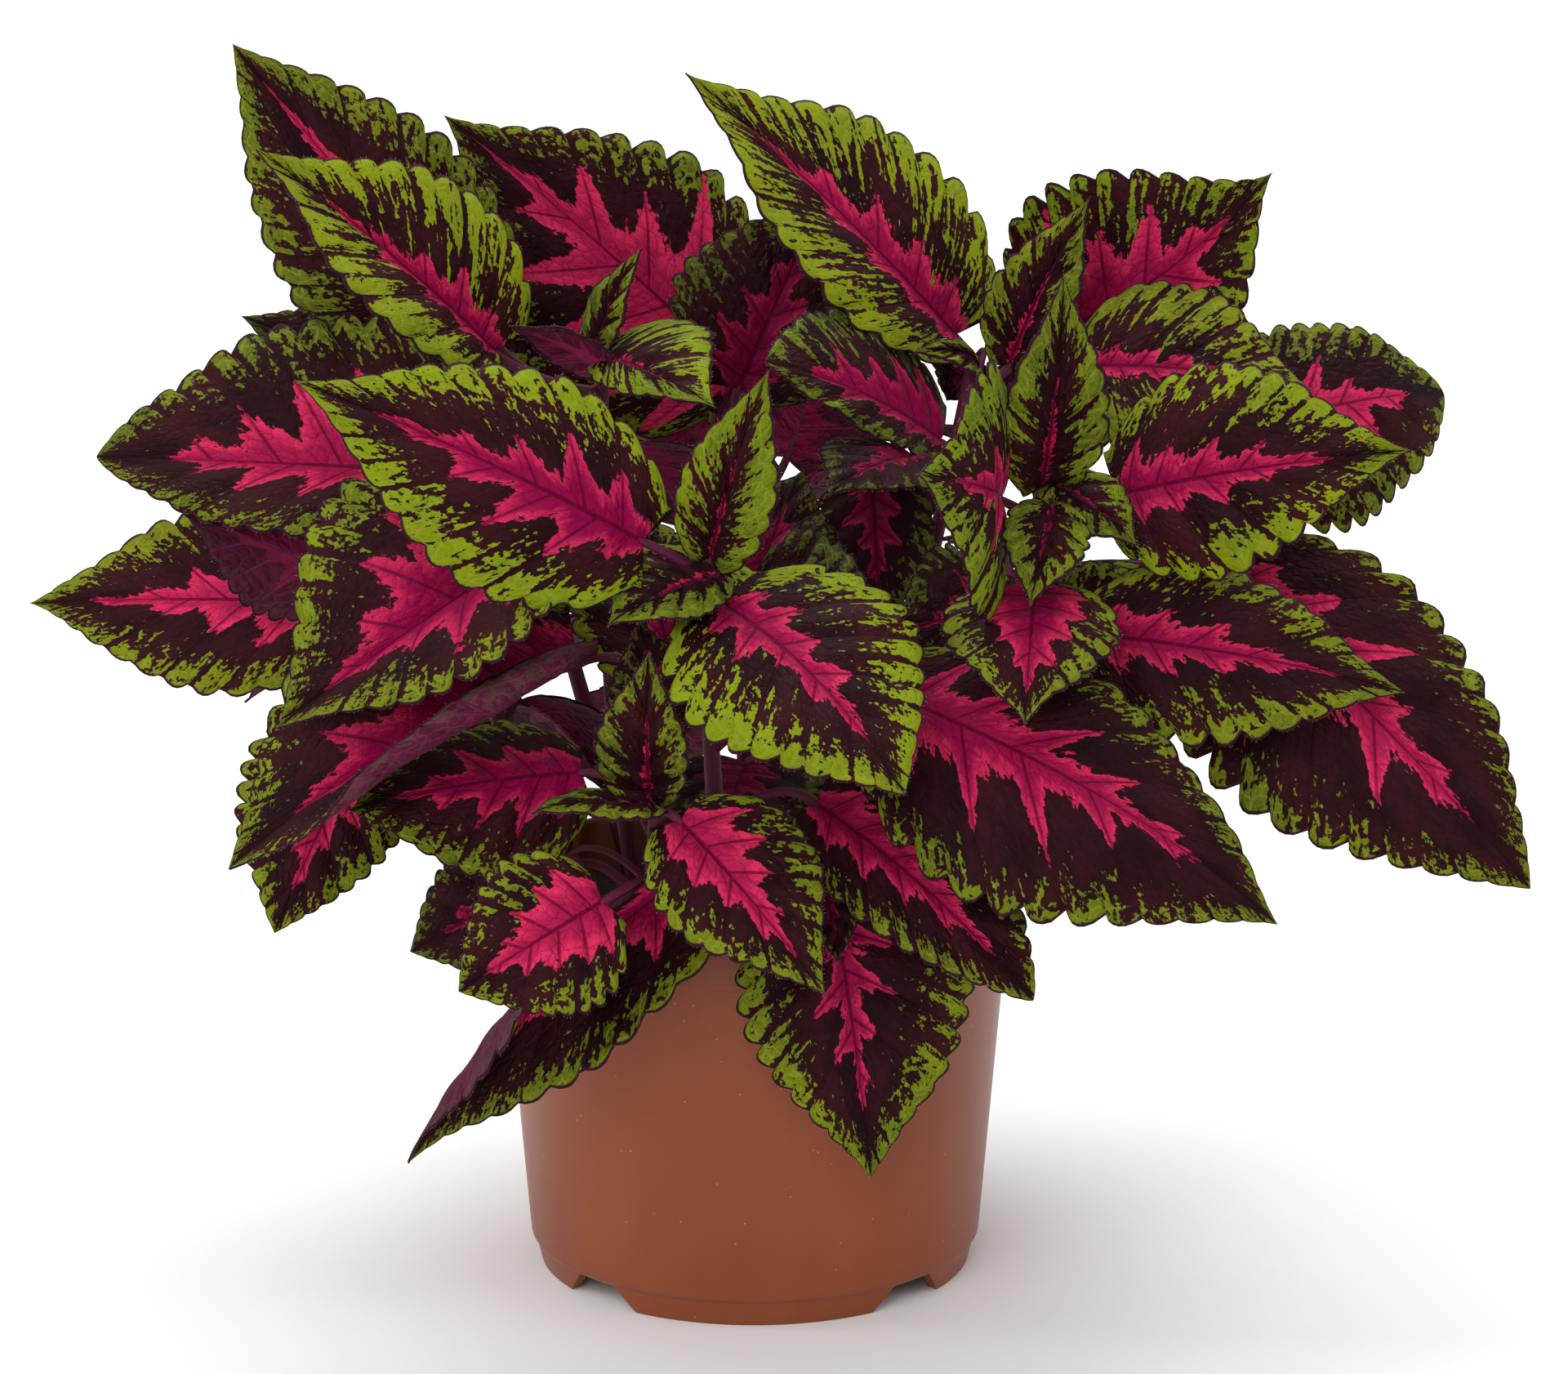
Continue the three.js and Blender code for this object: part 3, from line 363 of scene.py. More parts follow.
class Net:
    """Makes the nodes of one tree and links them."""

    def __init__(self, tree):
        self.tree = tree

    def feed(self, socket, value):
        if isinstance(value, Value):
            self.tree.links.new(value.socket, socket)
        else:
            socket.default_value = value

    def node(self, kind, inputs=(), **settings):
        made = self.tree.nodes.new("ShaderNode" + kind)
        for name, setting in settings.items():
            setattr(made, name, setting)
        for name, value in dict(inputs).items():
            self.feed(made.inputs[name], value)
        return made

    def value(self, kind, output, inputs=(), **settings):
        """What one output of a new node gives."""
        return Value(self, self.node(kind, inputs, **settings).outputs[output])

    def math(self, operation, *values, clamp=False):
        return self.value("Math", 0, enumerate(values), operation=operation, use_clamp=clamp)

    def most(self, a, b):
        return self.math("MAXIMUM", a, b)

    def step(self, value, low, high, to_low=0.0, to_high=1.0):
        """Goes smoothly from to_low at low to to_high at high."""
        inputs = {"Value": value, "From Min": low, "From Max": high, "To Min": to_low, "To Max": to_high}
        return self.value("MapRange", 0, inputs, interpolation_type="SMOOTHSTEP")

    def fall(self, value, low, high):
        """Goes smoothly from 1 at low to 0 at high."""
        return self.step(value, low, high, 1.0, 0.0)

    def point(self, x, y, z):
        return self.value("CombineXYZ", 0, {"X": x, "Y": y, "Z": z})

    def split(self, vector):
        made = self.node("SeparateXYZ", {"Vector": vector})
        return [Value(self, output) for output in made.outputs]

    def place(self):
        """Where a point lies on the object, in metres."""
        return self.value("TexCoord", "Object")

    def noise(self, point, scale=1.0, detail=2.0, roughness=0.5):
        inputs = {"Vector": point, "Scale": scale, "Detail": detail, "Roughness": roughness}
        return self.value("TexNoise", "Fac", inputs)

    def draw(self, point):
        """A number from 0 to 1 that is the same all over each whole point."""
        return self.value("TexWhiteNoise", "Value", {"Vector": point}, noise_dimensions="3D")

    def cells(self, point, scale):
        """How far off the middle of the nearest cell is, and a number that each cell draws."""
        made = self.node("TexVoronoi", {"Vector": point, "Scale": scale})
        return Value(self, made.outputs["Distance"]), self.split(Value(self, made.outputs["Color"]))[0]

    def cell_border(self, point, scale):
        """How far off the nearest border between two cells is."""
        inputs = {"Vector": point, "Scale": scale}
        return self.value("TexVoronoi", "Distance", inputs, feature="DISTANCE_TO_EDGE")

    def mix(self, colour, *layers):
        """A colour under layers, each of them a share and a colour."""
        for share, above in layers:
            made = self.node("Mix", data_type="RGBA")
            for index, value in ((0, share), (6, colour), (7, above)):
                self.feed(made.inputs[index], value)
            colour = Value(self, made.outputs[2])
        return colour


def new_material(name):
    """A material, the maker of its nodes and its shader."""
    material = bpy.data.materials.new(name)
    material.use_nodes = True
    return material, Net(material.node_tree), material.node_tree.nodes["Principled BSDF"]


def dress(net, shader, inputs, height=None, strength=1.0, depth=1.0):
    """Sets a shader's inputs, and its bumps from a height, with their depth in millimetres."""
    for name, value in inputs.items():
        net.feed(shader.inputs[name], value)
    if height is not None:
        bump = {"Height": height, "Strength": strength, "Distance": depth * MM}
        net.feed(shader.inputs["Normal"], net.value("Bump", "Normal", bump))


def srgb(red, green, blue):
    """A colour given by its 8-bit values, as the linear colour that a shader takes."""

    def linear(level):
        share = level / 255
        return share / 12.92 if share <= 0.04045 else ((share + 0.055) / 1.055) ** 2.4

    return (linear(red), linear(green), linear(blue), 1.0)


# ---- the leaf's colours ----

CRIMSON = srgb(136, 0, 62)
PINK = srgb(208, 42, 86)
PINK_VEIN = srgb(86, 0, 38)
DARK = srgb(30, 5, 12)
DARK_WARM = srgb(52, 14, 20)
GREEN = srgb(120, 140, 4)
# The green's deep end, also used as painted shade on leaves that lie in shade.
GREEN_DEEP_AND_SHADED = srgb(52, 66, 18)
GREEN_WARM = srgb(124, 124, 12)
GREEN_VEIN = srgb(136, 144, 44)
SPECK = srgb(40, 28, 16)
EDGE = srgb(50, 18, 34)
MAUVE = srgb(78, 22, 46)
MAUVE_VEIN = srgb(112, 40, 74)
UNDER_GREEN = srgb(70, 60, 44)
UNDER_PINK = srgb(156, 22, 78)
HAIR = srgb(196, 172, 178)

# The leaf map has u, and as its second coordinate 0 to 1 from the right margin to the left one. On the
# lower skin and the hairs that is raised, to tell them apart.
SKIN_SHIFT = 2.0
HAIR_AT = 5.0

# What one leaf's pattern is made of. Shares are of the way from the midrib to the margin.
PATTERN = dict(
    Seed=0.0,
    Length=90.0,  # of the blade, in millimetres
    Half=30.0,  # half its width
    Veins=6.5,  # side veins on each side
    Stagger=0.25,  # how far one side's veins lie ahead of the other's
    Core=0.28,  # half width of the pink middle at the base
    Lobe=0.36,  # how much further the pink runs out along the side veins
    LobeWidth=0.40,  # how wide the lobes are, as a share of the space between two veins
    PinkEnd=0.92,  # share of the length at which the pink ends
    Green=0.76,  # where the green starts
    Ragged=1.0,  # how uneven that border is
    Streak=0.3,  # how far the green and the dark reach into each other in streaks along the veins
    VeinDark=0.15,  # how far the dark runs out along the veins
    NotchDark=0.36,  # and to the notches between the teeth
    Quilt=1.0,  # how puffed the surface is between the fine veins
    Warm=0.5,  # 0 bluish green, 1 yellowish green
    # How bright the green is: partly the leaf's own tone, partly painted light and shade, brighter on
    # leaves that lie lit and deeper on leaves in shade.
    Light=0.5,  # 0 deep, 1 bright
    Rose=0.5,  # 0 crimson, 1 light pink
    # Painted shade: on leaves deep inside the plant the whole blade is taken towards the dark maroon.
    Dim=0.0,  # how far the whole blade goes towards the dark maroon
)

# How the leaves differ from that, by the look that their rows name.
LOOKS = {
    "plain": {},
    "lime": dict(Green=0.56, Streak=0.95, VeinDark=0.45, NotchDark=0.3, Core=0.22, Lobe=0.26, Warm=0.7,
                 Light=0.85),
    "olive": dict(Warm=0.45, Light=0.25, Green=0.78),
    "night": dict(Green=0.90, Ragged=0.8, Core=0.27, Lobe=0.55, LobeWidth=0.28, Light=0.4),
    "rosy": dict(Core=0.42, Lobe=0.42, LobeWidth=0.36, Green=0.78, Rose=0.6),
    "frosted": dict(Green=0.56, Streak=0.95, VeinDark=0.4, Warm=0.05, Light=0.5, Core=0.26, Lobe=0.28),
    "young": dict(Core=0.05, Lobe=0.05, Green=0.44, Streak=0.4, VeinDark=0.3, NotchDark=0.2, Quilt=1.6,
                  Warm=0.35, Light=0.35, PinkEnd=0.8),
    # The look of leaves deep inside the plant: painted shade, with the whole blade darkened and its green
    # and pink made deeper.
    "shade": dict(Warm=0.15, Light=0.1, Rose=0.1, Green=0.78, Dim=0.4),
}


class LeafPattern:
    """The coleus pattern, part by part, from where a point lies on its leaf."""

    def __init__(self, net, p):
        self.net = net
        self.p = p
        self.u, y, _ = net.split(net.value("UVMap", 0, uv_map="leaf"))
        self.lower = y > SKIN_SHIFT - 0.5
        self.hair = y > HAIR_AT - 0.5
        t = (y - self.lower * SKIN_SHIFT) * 2 - 1
        self.across = abs(t)
        self.side = t > 0.0
        self.along_mm = self.u * p["Length"]
        self.across_mm = t * p["Half"]
        self.unevenness()
        self.side_veins()
        self.pink_middle()
        self.green_border()
        self.fine_veins()

    def noise(self, along, across, seed, **more):
        """Noise around 0 with a grain of so many millimetres along and across the blade."""
        point = self.net.point(self.along_mm / along, self.across_mm / across, self.p["Seed"] + seed)
        return self.net.noise(point, **more) - 0.5

    def unevenness(self):
        """Noises of several grains, most of them drawn out along the side veins."""
        self.rag = self.noise(2.3, 3.4, 0.0, detail=4.0, roughness=0.6)
        self.fine = self.noise(0.9, 1.3, 7.3)
        self.jag = self.noise(1.3, 2.4, 11.9)
        self.broad = self.noise(16, 16, 3.1, detail=1.0)
        self.streak = self.noise(1.3, 9, 5.7, detail=3.0)

    def side_veins(self):
        """How far off the nearest side vein and notch are, and a number that each of them draws."""
        net, p, side = self.net, self.p, self.side
        phase = self.u * p["Veins"] + side * p["Stagger"]
        vein = round(phase)
        notch = round(phase * 2)
        self.from_vein = abs(phase - vein)
        self.vein_mm = self.from_vein * p["Length"] / p["Veins"]
        self.notch_mm = abs(phase * 2 - notch) * p["Length"] / p["Veins"] / 2
        self.vein_draw = net.draw(net.point(vein, side * 3 + 1, p["Seed"]))
        self.notch_draw = net.draw(net.point(notch, side * 3 + 9, p["Seed"]))

    def pink_middle(self):
        """It runs out in jagged tongues along the side veins."""
        net, p, u = self.net, self.p, self.u
        core = p["Core"] * net.most(1 - u, 0.0) ** 0.6
        reach = net.step(u, 0.02, 0.16, 0.5, 1.0) * net.fall(u, 0.62, 0.9)
        spike = net.most(1 - self.from_vein / p["LobeWidth"], 0.0) ** 1.1
        lobe = p["Lobe"] * (0.3 + 0.8 * self.vein_draw) * spike * reach
        edge = core + lobe + self.rag * 0.4 + self.jag * 0.15 + self.fine * 0.12
        self.pink_edge = edge - net.step(u, p["PinkEnd"] - 0.12, p["PinkEnd"]) * 0.2
        self.pink = net.step(self.pink_edge - self.across, -0.016, 0.016)

    def green_border(self):
        """The green starts further out along the veins and at some of the notches."""
        net, p, rag = self.net, self.p, self.rag
        on_vein = net.fall(self.vein_mm + rag, 0.2, 1.2) * net.step(self.vein_draw, 0.1, 0.5)
        on_notch = net.fall(self.notch_mm + rag * 0.7, 0.1, 0.9) * net.step(self.notch_draw, 0.0, 0.7)
        ragged = rag * 1.25 + self.jag * 0.45 + self.fine * 0.95 + self.broad * 0.55
        start = p["Green"] + p["VeinDark"] * on_vein + p["NotchDark"] * on_notch
        start = start + ragged * p["Ragged"] - p["Streak"] * self.streak * 2.4
        self.into_green = self.across - (start - net.step(self.u, 0.75, 0.95) * 0.14)
        self.green = net.step(self.into_green, -0.012, 0.012)

    def fine_veins(self):
        """Two nets of fine veins, the side veins, the midrib and the specks."""
        net, across = self.net, self.across
        bend = net.point(self.along_mm + self.rag * 1.6, self.across_mm + self.fine * 1.2, self.p["Seed"])
        self.coarse_net = net.cell_border(bend, 0.30)
        self.finer_net = net.cell_border(bend, 0.85)
        self.fine_vein = net.fall(self.coarse_net, 0.02, 0.09)
        self.finest_vein = net.fall(self.finer_net, 0.02, 0.12)
        self.side_vein = net.fall(self.vein_mm, 0.15, 0.5) * net.step(across, 0.3, 0.95, 1.0, 0.35)
        self.midrib = net.fall(abs(self.across_mm), 0.25, 0.75) * net.step(self.u, 0.5, 1.0, 1.0, 0.4)
        from_dot, dot_draw = net.cells(bend, 0.6)
        self.dot = net.fall(from_dot, 0.16, 0.28) * (dot_draw > 0.3 + self.into_green * 3.0)

    def pink_colour(self):
        net = self.net
        outwards = net.step(self.across / net.most(self.pink_edge, 0.08), 0.35, 1.0)
        rose = net.math("ADD", outwards * 0.8 + self.u * 0.3 - 0.5, self.p["Rose"], clamp=True)
        fine_veins = self.fine_vein * 0.35 + self.finest_vein * 0.15
        large_veins = net.most(self.side_vein * 0.75, self.midrib * 0.85)
        return net.mix(CRIMSON, (rose, PINK), (fine_veins, PINK_VEIN), (large_veins, PINK_VEIN))

    def dark_colour(self):
        warm = self.net.step(self.broad + self.rag * 0.6, -0.2, 0.25)
        return self.net.mix(DARK, (warm, DARK_WARM), (self.fine_vein * 0.3, DARK))

    def green_colour(self):
        net = self.net
        # The green's brightness comes from drawn noise and the leaf's own setting, which is partly its
        # tone and partly painted light and shade.
        bright = net.math("ADD", self.broad * 1.4 + self.fine * 0.5, self.p["Light"], clamp=True)
        veins = self.fine_vein * 0.3 + self.finest_vein * 0.2
        border = net.step(self.into_green, 0.0, 0.07, 0.55, 0.0)
        return net.mix(GREEN_DEEP_AND_SHADED, (bright, GREEN), (self.p["Warm"] * 0.5, GREEN_WARM),
                       (veins, GREEN_VEIN), (border, SPECK), (self.dot * 0.85, SPECK))

    def outputs(self):
        """The colour, how rough it is and how high it stands."""
        net, p, green, pink = self.net, self.p, self.green, self.pink
        margin = net.step(self.across * p["Half"] + self.fine * 0.5, p["Half"] - 0.75, p["Half"] - 0.35)
        ribs = net.most(self.side_vein, self.midrib)
        upper = net.mix(self.dark_colour(), (green, self.green_colour()), (pink, self.pink_colour()),
                        (margin, EDGE))
        under = net.mix(MAUVE, (green * 0.6, UNDER_GREEN), (pink * 0.6, UNDER_PINK),
                        (net.most(self.fine_vein * 0.4, ribs), MAUVE_VEIN), (margin, EDGE))
        # The layer before the hairs takes the whole blade towards the dark maroon: painted shade on leaves
        # deep in the plant.
        colour = net.mix(upper, (self.lower, under), (p["Dim"], DARK), (self.hair, HAIR))
        rough = 0.58 + self.fine * 0.15 + green * 0.04 - pink * 0.04 + self.lower * 0.1
        dome = net.step(self.coarse_net, 0.0, 0.3) * 0.30 + net.step(self.finer_net, 0.0, 0.3) * 0.10
        puffed = net.step(self.from_vein, 0.0, 0.5) * 0.9 - ribs * 0.35
        height = ((dome + puffed) * p["Quilt"] + self.fine * 0.05) * (1 - margin)
        return {"Color": colour, "Roughness": rough, "Height": height}


def pattern_group():
    """The coleus pattern, from the leaf map and one leaf's settings."""
    tree = bpy.data.node_groups.new("coleus_pattern", "ShaderNodeTree")
    for name in PATTERN:
        tree.interface.new_socket(name=name, in_out="INPUT", socket_type="NodeSocketFloat")
    for name, kind in (("Color", "Color"), ("Roughness", "Float"), ("Height", "Float")):
        tree.interface.new_socket(name=name, in_out="OUTPUT", socket_type="NodeSocket" + kind)
    net = Net(tree)
    given = tree.nodes.new("NodeGroupInput")
    out = tree.nodes.new("NodeGroupOutput")
    pattern = LeafPattern(net, {name: Value(net, given.outputs[name]) for name in PATTERN})
    for name, value in pattern.outputs().items():
        net.feed(out.inputs[name], value)
    return tree


PATTERN_GROUP = pattern_group()


def leaf_material(name, settings):
    """One leaf's own material: the shared pattern with that leaf's settings."""
    material, net, shader = new_material(name)
    pattern = net.node("Group", node_tree=PATTERN_GROUP)
    for key, value in {**PATTERN, **settings}.items():
        pattern.inputs[key].default_value = value
    colour, rough, height = [Value(net, output) for output in pattern.outputs]
    dress(net, shader, {"Base Color": colour, "Roughness": rough, "Specular IOR Level": 0.06,
                        "Sheen Weight": 0.01, "Sheen Roughness": 0.4}, height, 0.8)
    return material


# ---- meshes ----


def new_object(name, data):
    """A new object in the scene."""
    made = bpy.data.objects.new(name, data)
    bpy.context.scene.collection.objects.link(made)
    return made


def mesh_object(name, points, faces):
    """A new object of points in millimetres."""
    mesh = bpy.data.meshes.new(name)
    mesh.from_pydata((np.asarray(points) * MM).tolist(), [], faces)
    return new_object(name, mesh)


def piece(name, points, faces, node, slot_name, material, maps=None):
    """Makes a smooth mesh a piece of the object, in place of a CAD node."""
    made = mesh_object(name, points, faces)
    mesh = made.data
    for map_name, places in (maps or {}).items():
        layer = mesh.uv_layers.new(name=map_name)
        layer.uv.foreach_set("vector", np.asarray(places, np.float32).ravel())
    mesh.materials.append(material)
    mesh.polygons.foreach_set("use_smooth", [True] * len(mesh.polygons))
    mesh.validate()
    drop_loose(mesh)
    mesh.update()
    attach(made, "root")
    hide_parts(node)
    return made


def drop_loose(mesh):
    """Takes away the points that no face uses."""
    shape = bmesh.new()
    shape.from_mesh(mesh)
    bmesh.ops.delete(shape, geom=[point for point in shape.verts if not point.link_faces], context="VERTS")
    shape.to_mesh(mesh)
    shape.free()


def joined(parts):
    """The points of several solids and their faces, as one list of each."""
    points, faces = [], []
    for some, corners in parts:
        offset = sum(len(p) for p in points)
        points.append(np.asarray(some, float))
        faces += [[corner + offset for corner in face] for face in corners]
    return np.concatenate(points), faces


def side_face(first, i, sides):
    """The face on side i between a ring of points, numbered from first, and the next ring."""
    j = (i + 1) % sides
    return [first + i, first + j, first + sides + j, first + sides + i]


def bent(a, corner, b, f):
    """The point at a share f of the curve from a to b that a corner draws to itself."""
    return (1 - f) ** 2 * a + 2 * f * (1 - f) * corner + f * f * b


def unit(vector):
    """A vector, or each of many, made one long."""
    vector = np.asarray(vector, float)
    return vector / np.maximum(np.linalg.norm(vector, axis=-1, keepdims=True), 1e-9)


def limited(value):
    """A value, kept between 0 and 1."""
    return np.clip(value, 0, 1)


# ---- a leaf ----


def axes_of(row):
    """Where the blade starts, its length, and its own axes: along it, out of its face, to its left."""
    start = np.array(row["base"], float)
    along = np.array(row["tip"], float) - start
    length = float(np.linalg.norm(along))
    along = along / length
    face = np.array(row["face"], float)
    out = unit(face - face.dot(along) * along)
    return dict(start=start, length=length, along=along, out=out, left=np.cross(out, along))


def finished(row, number):
    """A leaf with all that its row leaves out, and its own source of random numbers."""
    width = row["width"]
    draw = np.random.default_rng(FIRST_SEED + number)
    veins, columns = next(rest for least, *rest in BY_WIDTH if width > least)
    leaf = {**PLAIN_SHAPE, **(LARGE_LEAF if width > LARGE else SMALL_LEAF), **row, **axes_of(row)}
    leaf.update(veins=veins, columns=columns, ribbed=min(width / FULLY_RIBBED, 1.0))
    leaf["stagger"] = float(draw.uniform(*STAGGERS))
    leaf["waves"] = float(draw.uniform(*WAVES))
    leaf["shift"] = float(draw.uniform(0, 1))
    own = {key: value for key, value in row.items() if key in PATTERN}
    leaf["pattern"] = dict(Seed=number * SEED_STEP, Length=leaf["length"], Half=width / 2, Veins=veins,
                           Stagger=leaf["stagger"], **{**LOOKS[row["look"]], **own})
    return leaf, draw


def outline(s, taper):
    """Half width of the blade, as a share, at a share s of its length."""
    near = np.sqrt(np.maximum(1 - ((WIDEST - np.maximum(s, HEEL)) / BASE_ROUND) ** 2, 0))
    far = np.cos(limited((s - WIDEST) / (1 - WIDEST)) * np.pi / 2) ** taper
    return np.where(s < WIDEST, near, far)


def rolled(leaf, u, t, reach):
    """How far points lie from the midrib and above the blade, once its margin has rolled over."""
    side, inner, begin, end, turn = leaf["roll"]
    beyond = limited(side * t - inner)
    turned = np.radians(turn) * limited(np.minimum(u - begin, end - u) / ROLL_FADE) * beyond / (1 - inner)
    arc = reach * beyond / np.maximum(np.abs(t), 1e-6)
    flat = reach - arc + arc * np.sinc(turned / np.pi)
    return flat, arc * turned / 2 * np.sinc(turned / 2 / np.pi) ** 2


def blade_points(leaf, u, t, notch):
    """Points of the blade's middle surface, with how far along the blade each is, as a share, and how
    far across it. Rows of constant u follow the side veins, and t goes from -1 at the right margin over
    the midrib to 1."""
    along, out, left, length = leaf["along"], leaf["out"], leaf["left"], leaf["length"]
    on_midrib = u**VEIN_AT_MIDRIB
    on_margin = 1 - (1 - u) ** VEIN_AT_MARGIN - leaf["cordate"] * (1 - u) ** CORDATE_SHARP
    s = on_midrib + (on_margin - on_midrib) * np.abs(t)
    half = leaf["width"] / 2
    reach = np.abs(t) * half * outline(on_margin, leaf["taper"]) * (1 + leaf["skew"] * np.sign(t)) * notch
    bow = 4 * s * (1 - s) * length
    slope = leaf["arch"] * 4 * (1 - 2 * s)
    rise = unit(out - along * slope[..., None])
    fold = np.radians(leaf["fold"]) * np.maximum(FOLD_AT_BASE - FOLD_LOST * s * s, 0)
    angle = fold + np.radians(leaf["curl"]) * reach / half
    flat, lifted = rolled(leaf, u, t, reach)
    sideways = leaf["sway"] * bow + np.sign(t) * (flat * np.cos(angle) - lifted * np.sin(angle))
    upwards = flat * np.sin(angle) + lifted * np.cos(angle)
    points = leaf["start"] + along * (s * length)[..., None] + out * (leaf["arch"] * bow)[..., None]
    return points + left * sideways[..., None] + rise * upwards[..., None], s, reach


def teeth(phase, u, t, draw):
    """How far the margin is cut in: rounded teeth, two to a vein, that lean to the tip and are all a
    little different."""
    number = np.floor(2 * phase).astype(int)
    within = (2 * phase - number) ** TOOTH_LEAN
    depth = TOOTH_DEPTH * draw.uniform(*TOOTH_DEPTHS, 2 * MOST_TEETH)[number + MOST_TEETH * (t > 0)]
    bump = np.abs(np.sin(np.pi * within)) ** TOOTH_ROUND
    return 1 - depth * (1 - bump) * limited((1 - u) * 7) * limited(u * 9 + 0.35)


def relief(leaf, phase, u, t, reach):
    """How far the blade puffs up and waves, and how high its midrib and its other ribs are."""
    across = np.abs(t)
    from_vein = np.abs(phase - np.round(phase))
    vein = np.exp(-((from_vein * leaf["length"] / leaf["veins"] / VEIN_WIDTH) ** 2))
    fade = limited(1 - across) ** 0.4 * limited((1 - u) * 4)
    dome = leaf["puff"] * np.sin(np.pi * limited(from_vein * 2) * 0.5) * fade * limited(across * 5)
    wave = leaf["wave"] * np.sin(2 * np.pi * (u * leaf["waves"] + leaf["shift"] + (t > 0) * 0.4))
    wave = wave * across**2 * limited((1 - u) * 3) * limited(u * 4)
    midrib = np.exp(-((reach / MIDRIB_WIDTH) ** 2)) * limited(1.1 - u)
    return dome + wave, midrib, MIDRIB_RIDGE * midrib + VEIN_RIDGE * vein * fade


def normals(points, out):
    """Where a grid of points faces at each of them, on the side of out."""
    normal = np.cross(np.gradient(points, axis=0), np.gradient(points, axis=1))
    normal[-1] = normal[-2]
    normal = unit(normal)
    return normal if normal.mean((0, 1)) @ out >= 0 else -normal


def fringe(middle, u, draw):
    """Short fine hairs along both margins: the four corners of each, and its place along the blade."""
    hairs = []
    for column, inward in ((0, 1), (-1, -2)):
        outward = unit(middle[:, column] - middle[:, inward])
        for row in range(2, len(middle) - 1):
            if draw.random() > HAIRS_PER_ROW:
                continue
            along = unit(middle[row + 1, column] - middle[row - 1, column])
            over = np.cross(along, outward[row])
            root = middle[row, column] - outward[row] * HAIR_RADIUS
            point = unit(outward[row] + draw.normal(size=3) * HAIR_SCATTER)
            ring = [root + HAIR_RADIUS * (along * math.cos(a) + over * math.sin(a)) for a in HAIR_ANGLES]
            hairs.append((ring + [root + point * draw.uniform(*HAIR_LENGTHS)], u[row, column]))
    return hairs


def skin_faces(rows, columns):
    """The faces of an upper and a lower grid of points, whose last rows are one point, and those of the
    rim between them."""
    count = rows * columns
    at = np.arange(count).reshape(rows, columns)
    at[-1] = at[-1, columns // 2]
    at = at.tolist()
    upper = []
    for i in range(rows - 1):
        for j in range(columns - 1):
            corners = [at[i][j], at[i][j + 1], at[i + 1][j + 1], at[i + 1][j]]
            upper.append(corners[:3] if i == rows - 2 else corners)
    lower = [[corner + count for corner in reversed(face)] for face in upper]
    border = at[0] + [at[i][-1] for i in range(1, rows)] + [at[i][0] for i in range(rows - 2, 0, -1)]
    rim = [[b, a, a + count, b + count] for a, b in zip(border, border[1:] + border[:1])]
    return upper, lower, rim


def skin_maps(leaf, u, t, s, reach, skin, rim):
    """Where the corners of both skins' faces and of the rim's lie in the leaf map and in the bake's."""
    upper = np.stack([u, (t + 1) / 2], -1).reshape(-1, 2)
    lower = upper + (0, SKIN_SHIFT)
    x = MAP_MIDDLE + MAP_WIDTH * np.sign(t) * reach / leaf["width"] / (1 + abs(leaf["skew"]))
    y = MAP_FOOT + MAP_HEIGHT * (s + MAP_HEEL) / (1 + MAP_HEEL)
    upper_flat = np.stack([x, y], -1).reshape(-1, 2)
    lower_flat = upper_flat + (LOWER_SHIFT, 0)
    round_lower = lower_flat + RIM_STRIP * unit(lower_flat - LOWER_CENTRE)
    skin = [corner for face in skin for corner in face]
    rim = [corner for face in rim for corner in face]
    maps = {}
    for name, on_upper, on_lower, on_rim in (
            ("leaf", upper, lower, lower), ("OFBake", upper_flat, lower_flat, round_lower)):
        on_skins = np.concatenate([on_upper, on_lower])[skin]
        maps[name] = np.concatenate([on_skins, np.concatenate([on_rim, on_lower])[rim]]).tolist()
    return maps


def add_hairs(hairs, points, faces, maps):
    """Adds the hairs' faces and their places in the maps, and gives the points with the hairs' own."""
    for index, (_, place) in enumerate(hairs):
        first = len(points) + 4 * index
        low = index / len(hairs)
        high = low + HAIR_SHARE / len(hairs)
        for k, face in enumerate(HAIR_FACES):
            faces.append([first + corner for corner in face])
            x = HAIR_STRIP + HAIR_STEP * k
            maps["leaf"] += [(place, HAIR_AT)] * 3
            maps["OFBake"] += [(x, low), (x + HAIR_WIDTH, low), (x + HAIR_TIP, high)]
    return np.concatenate([points] + [corners for corners, _ in hairs])


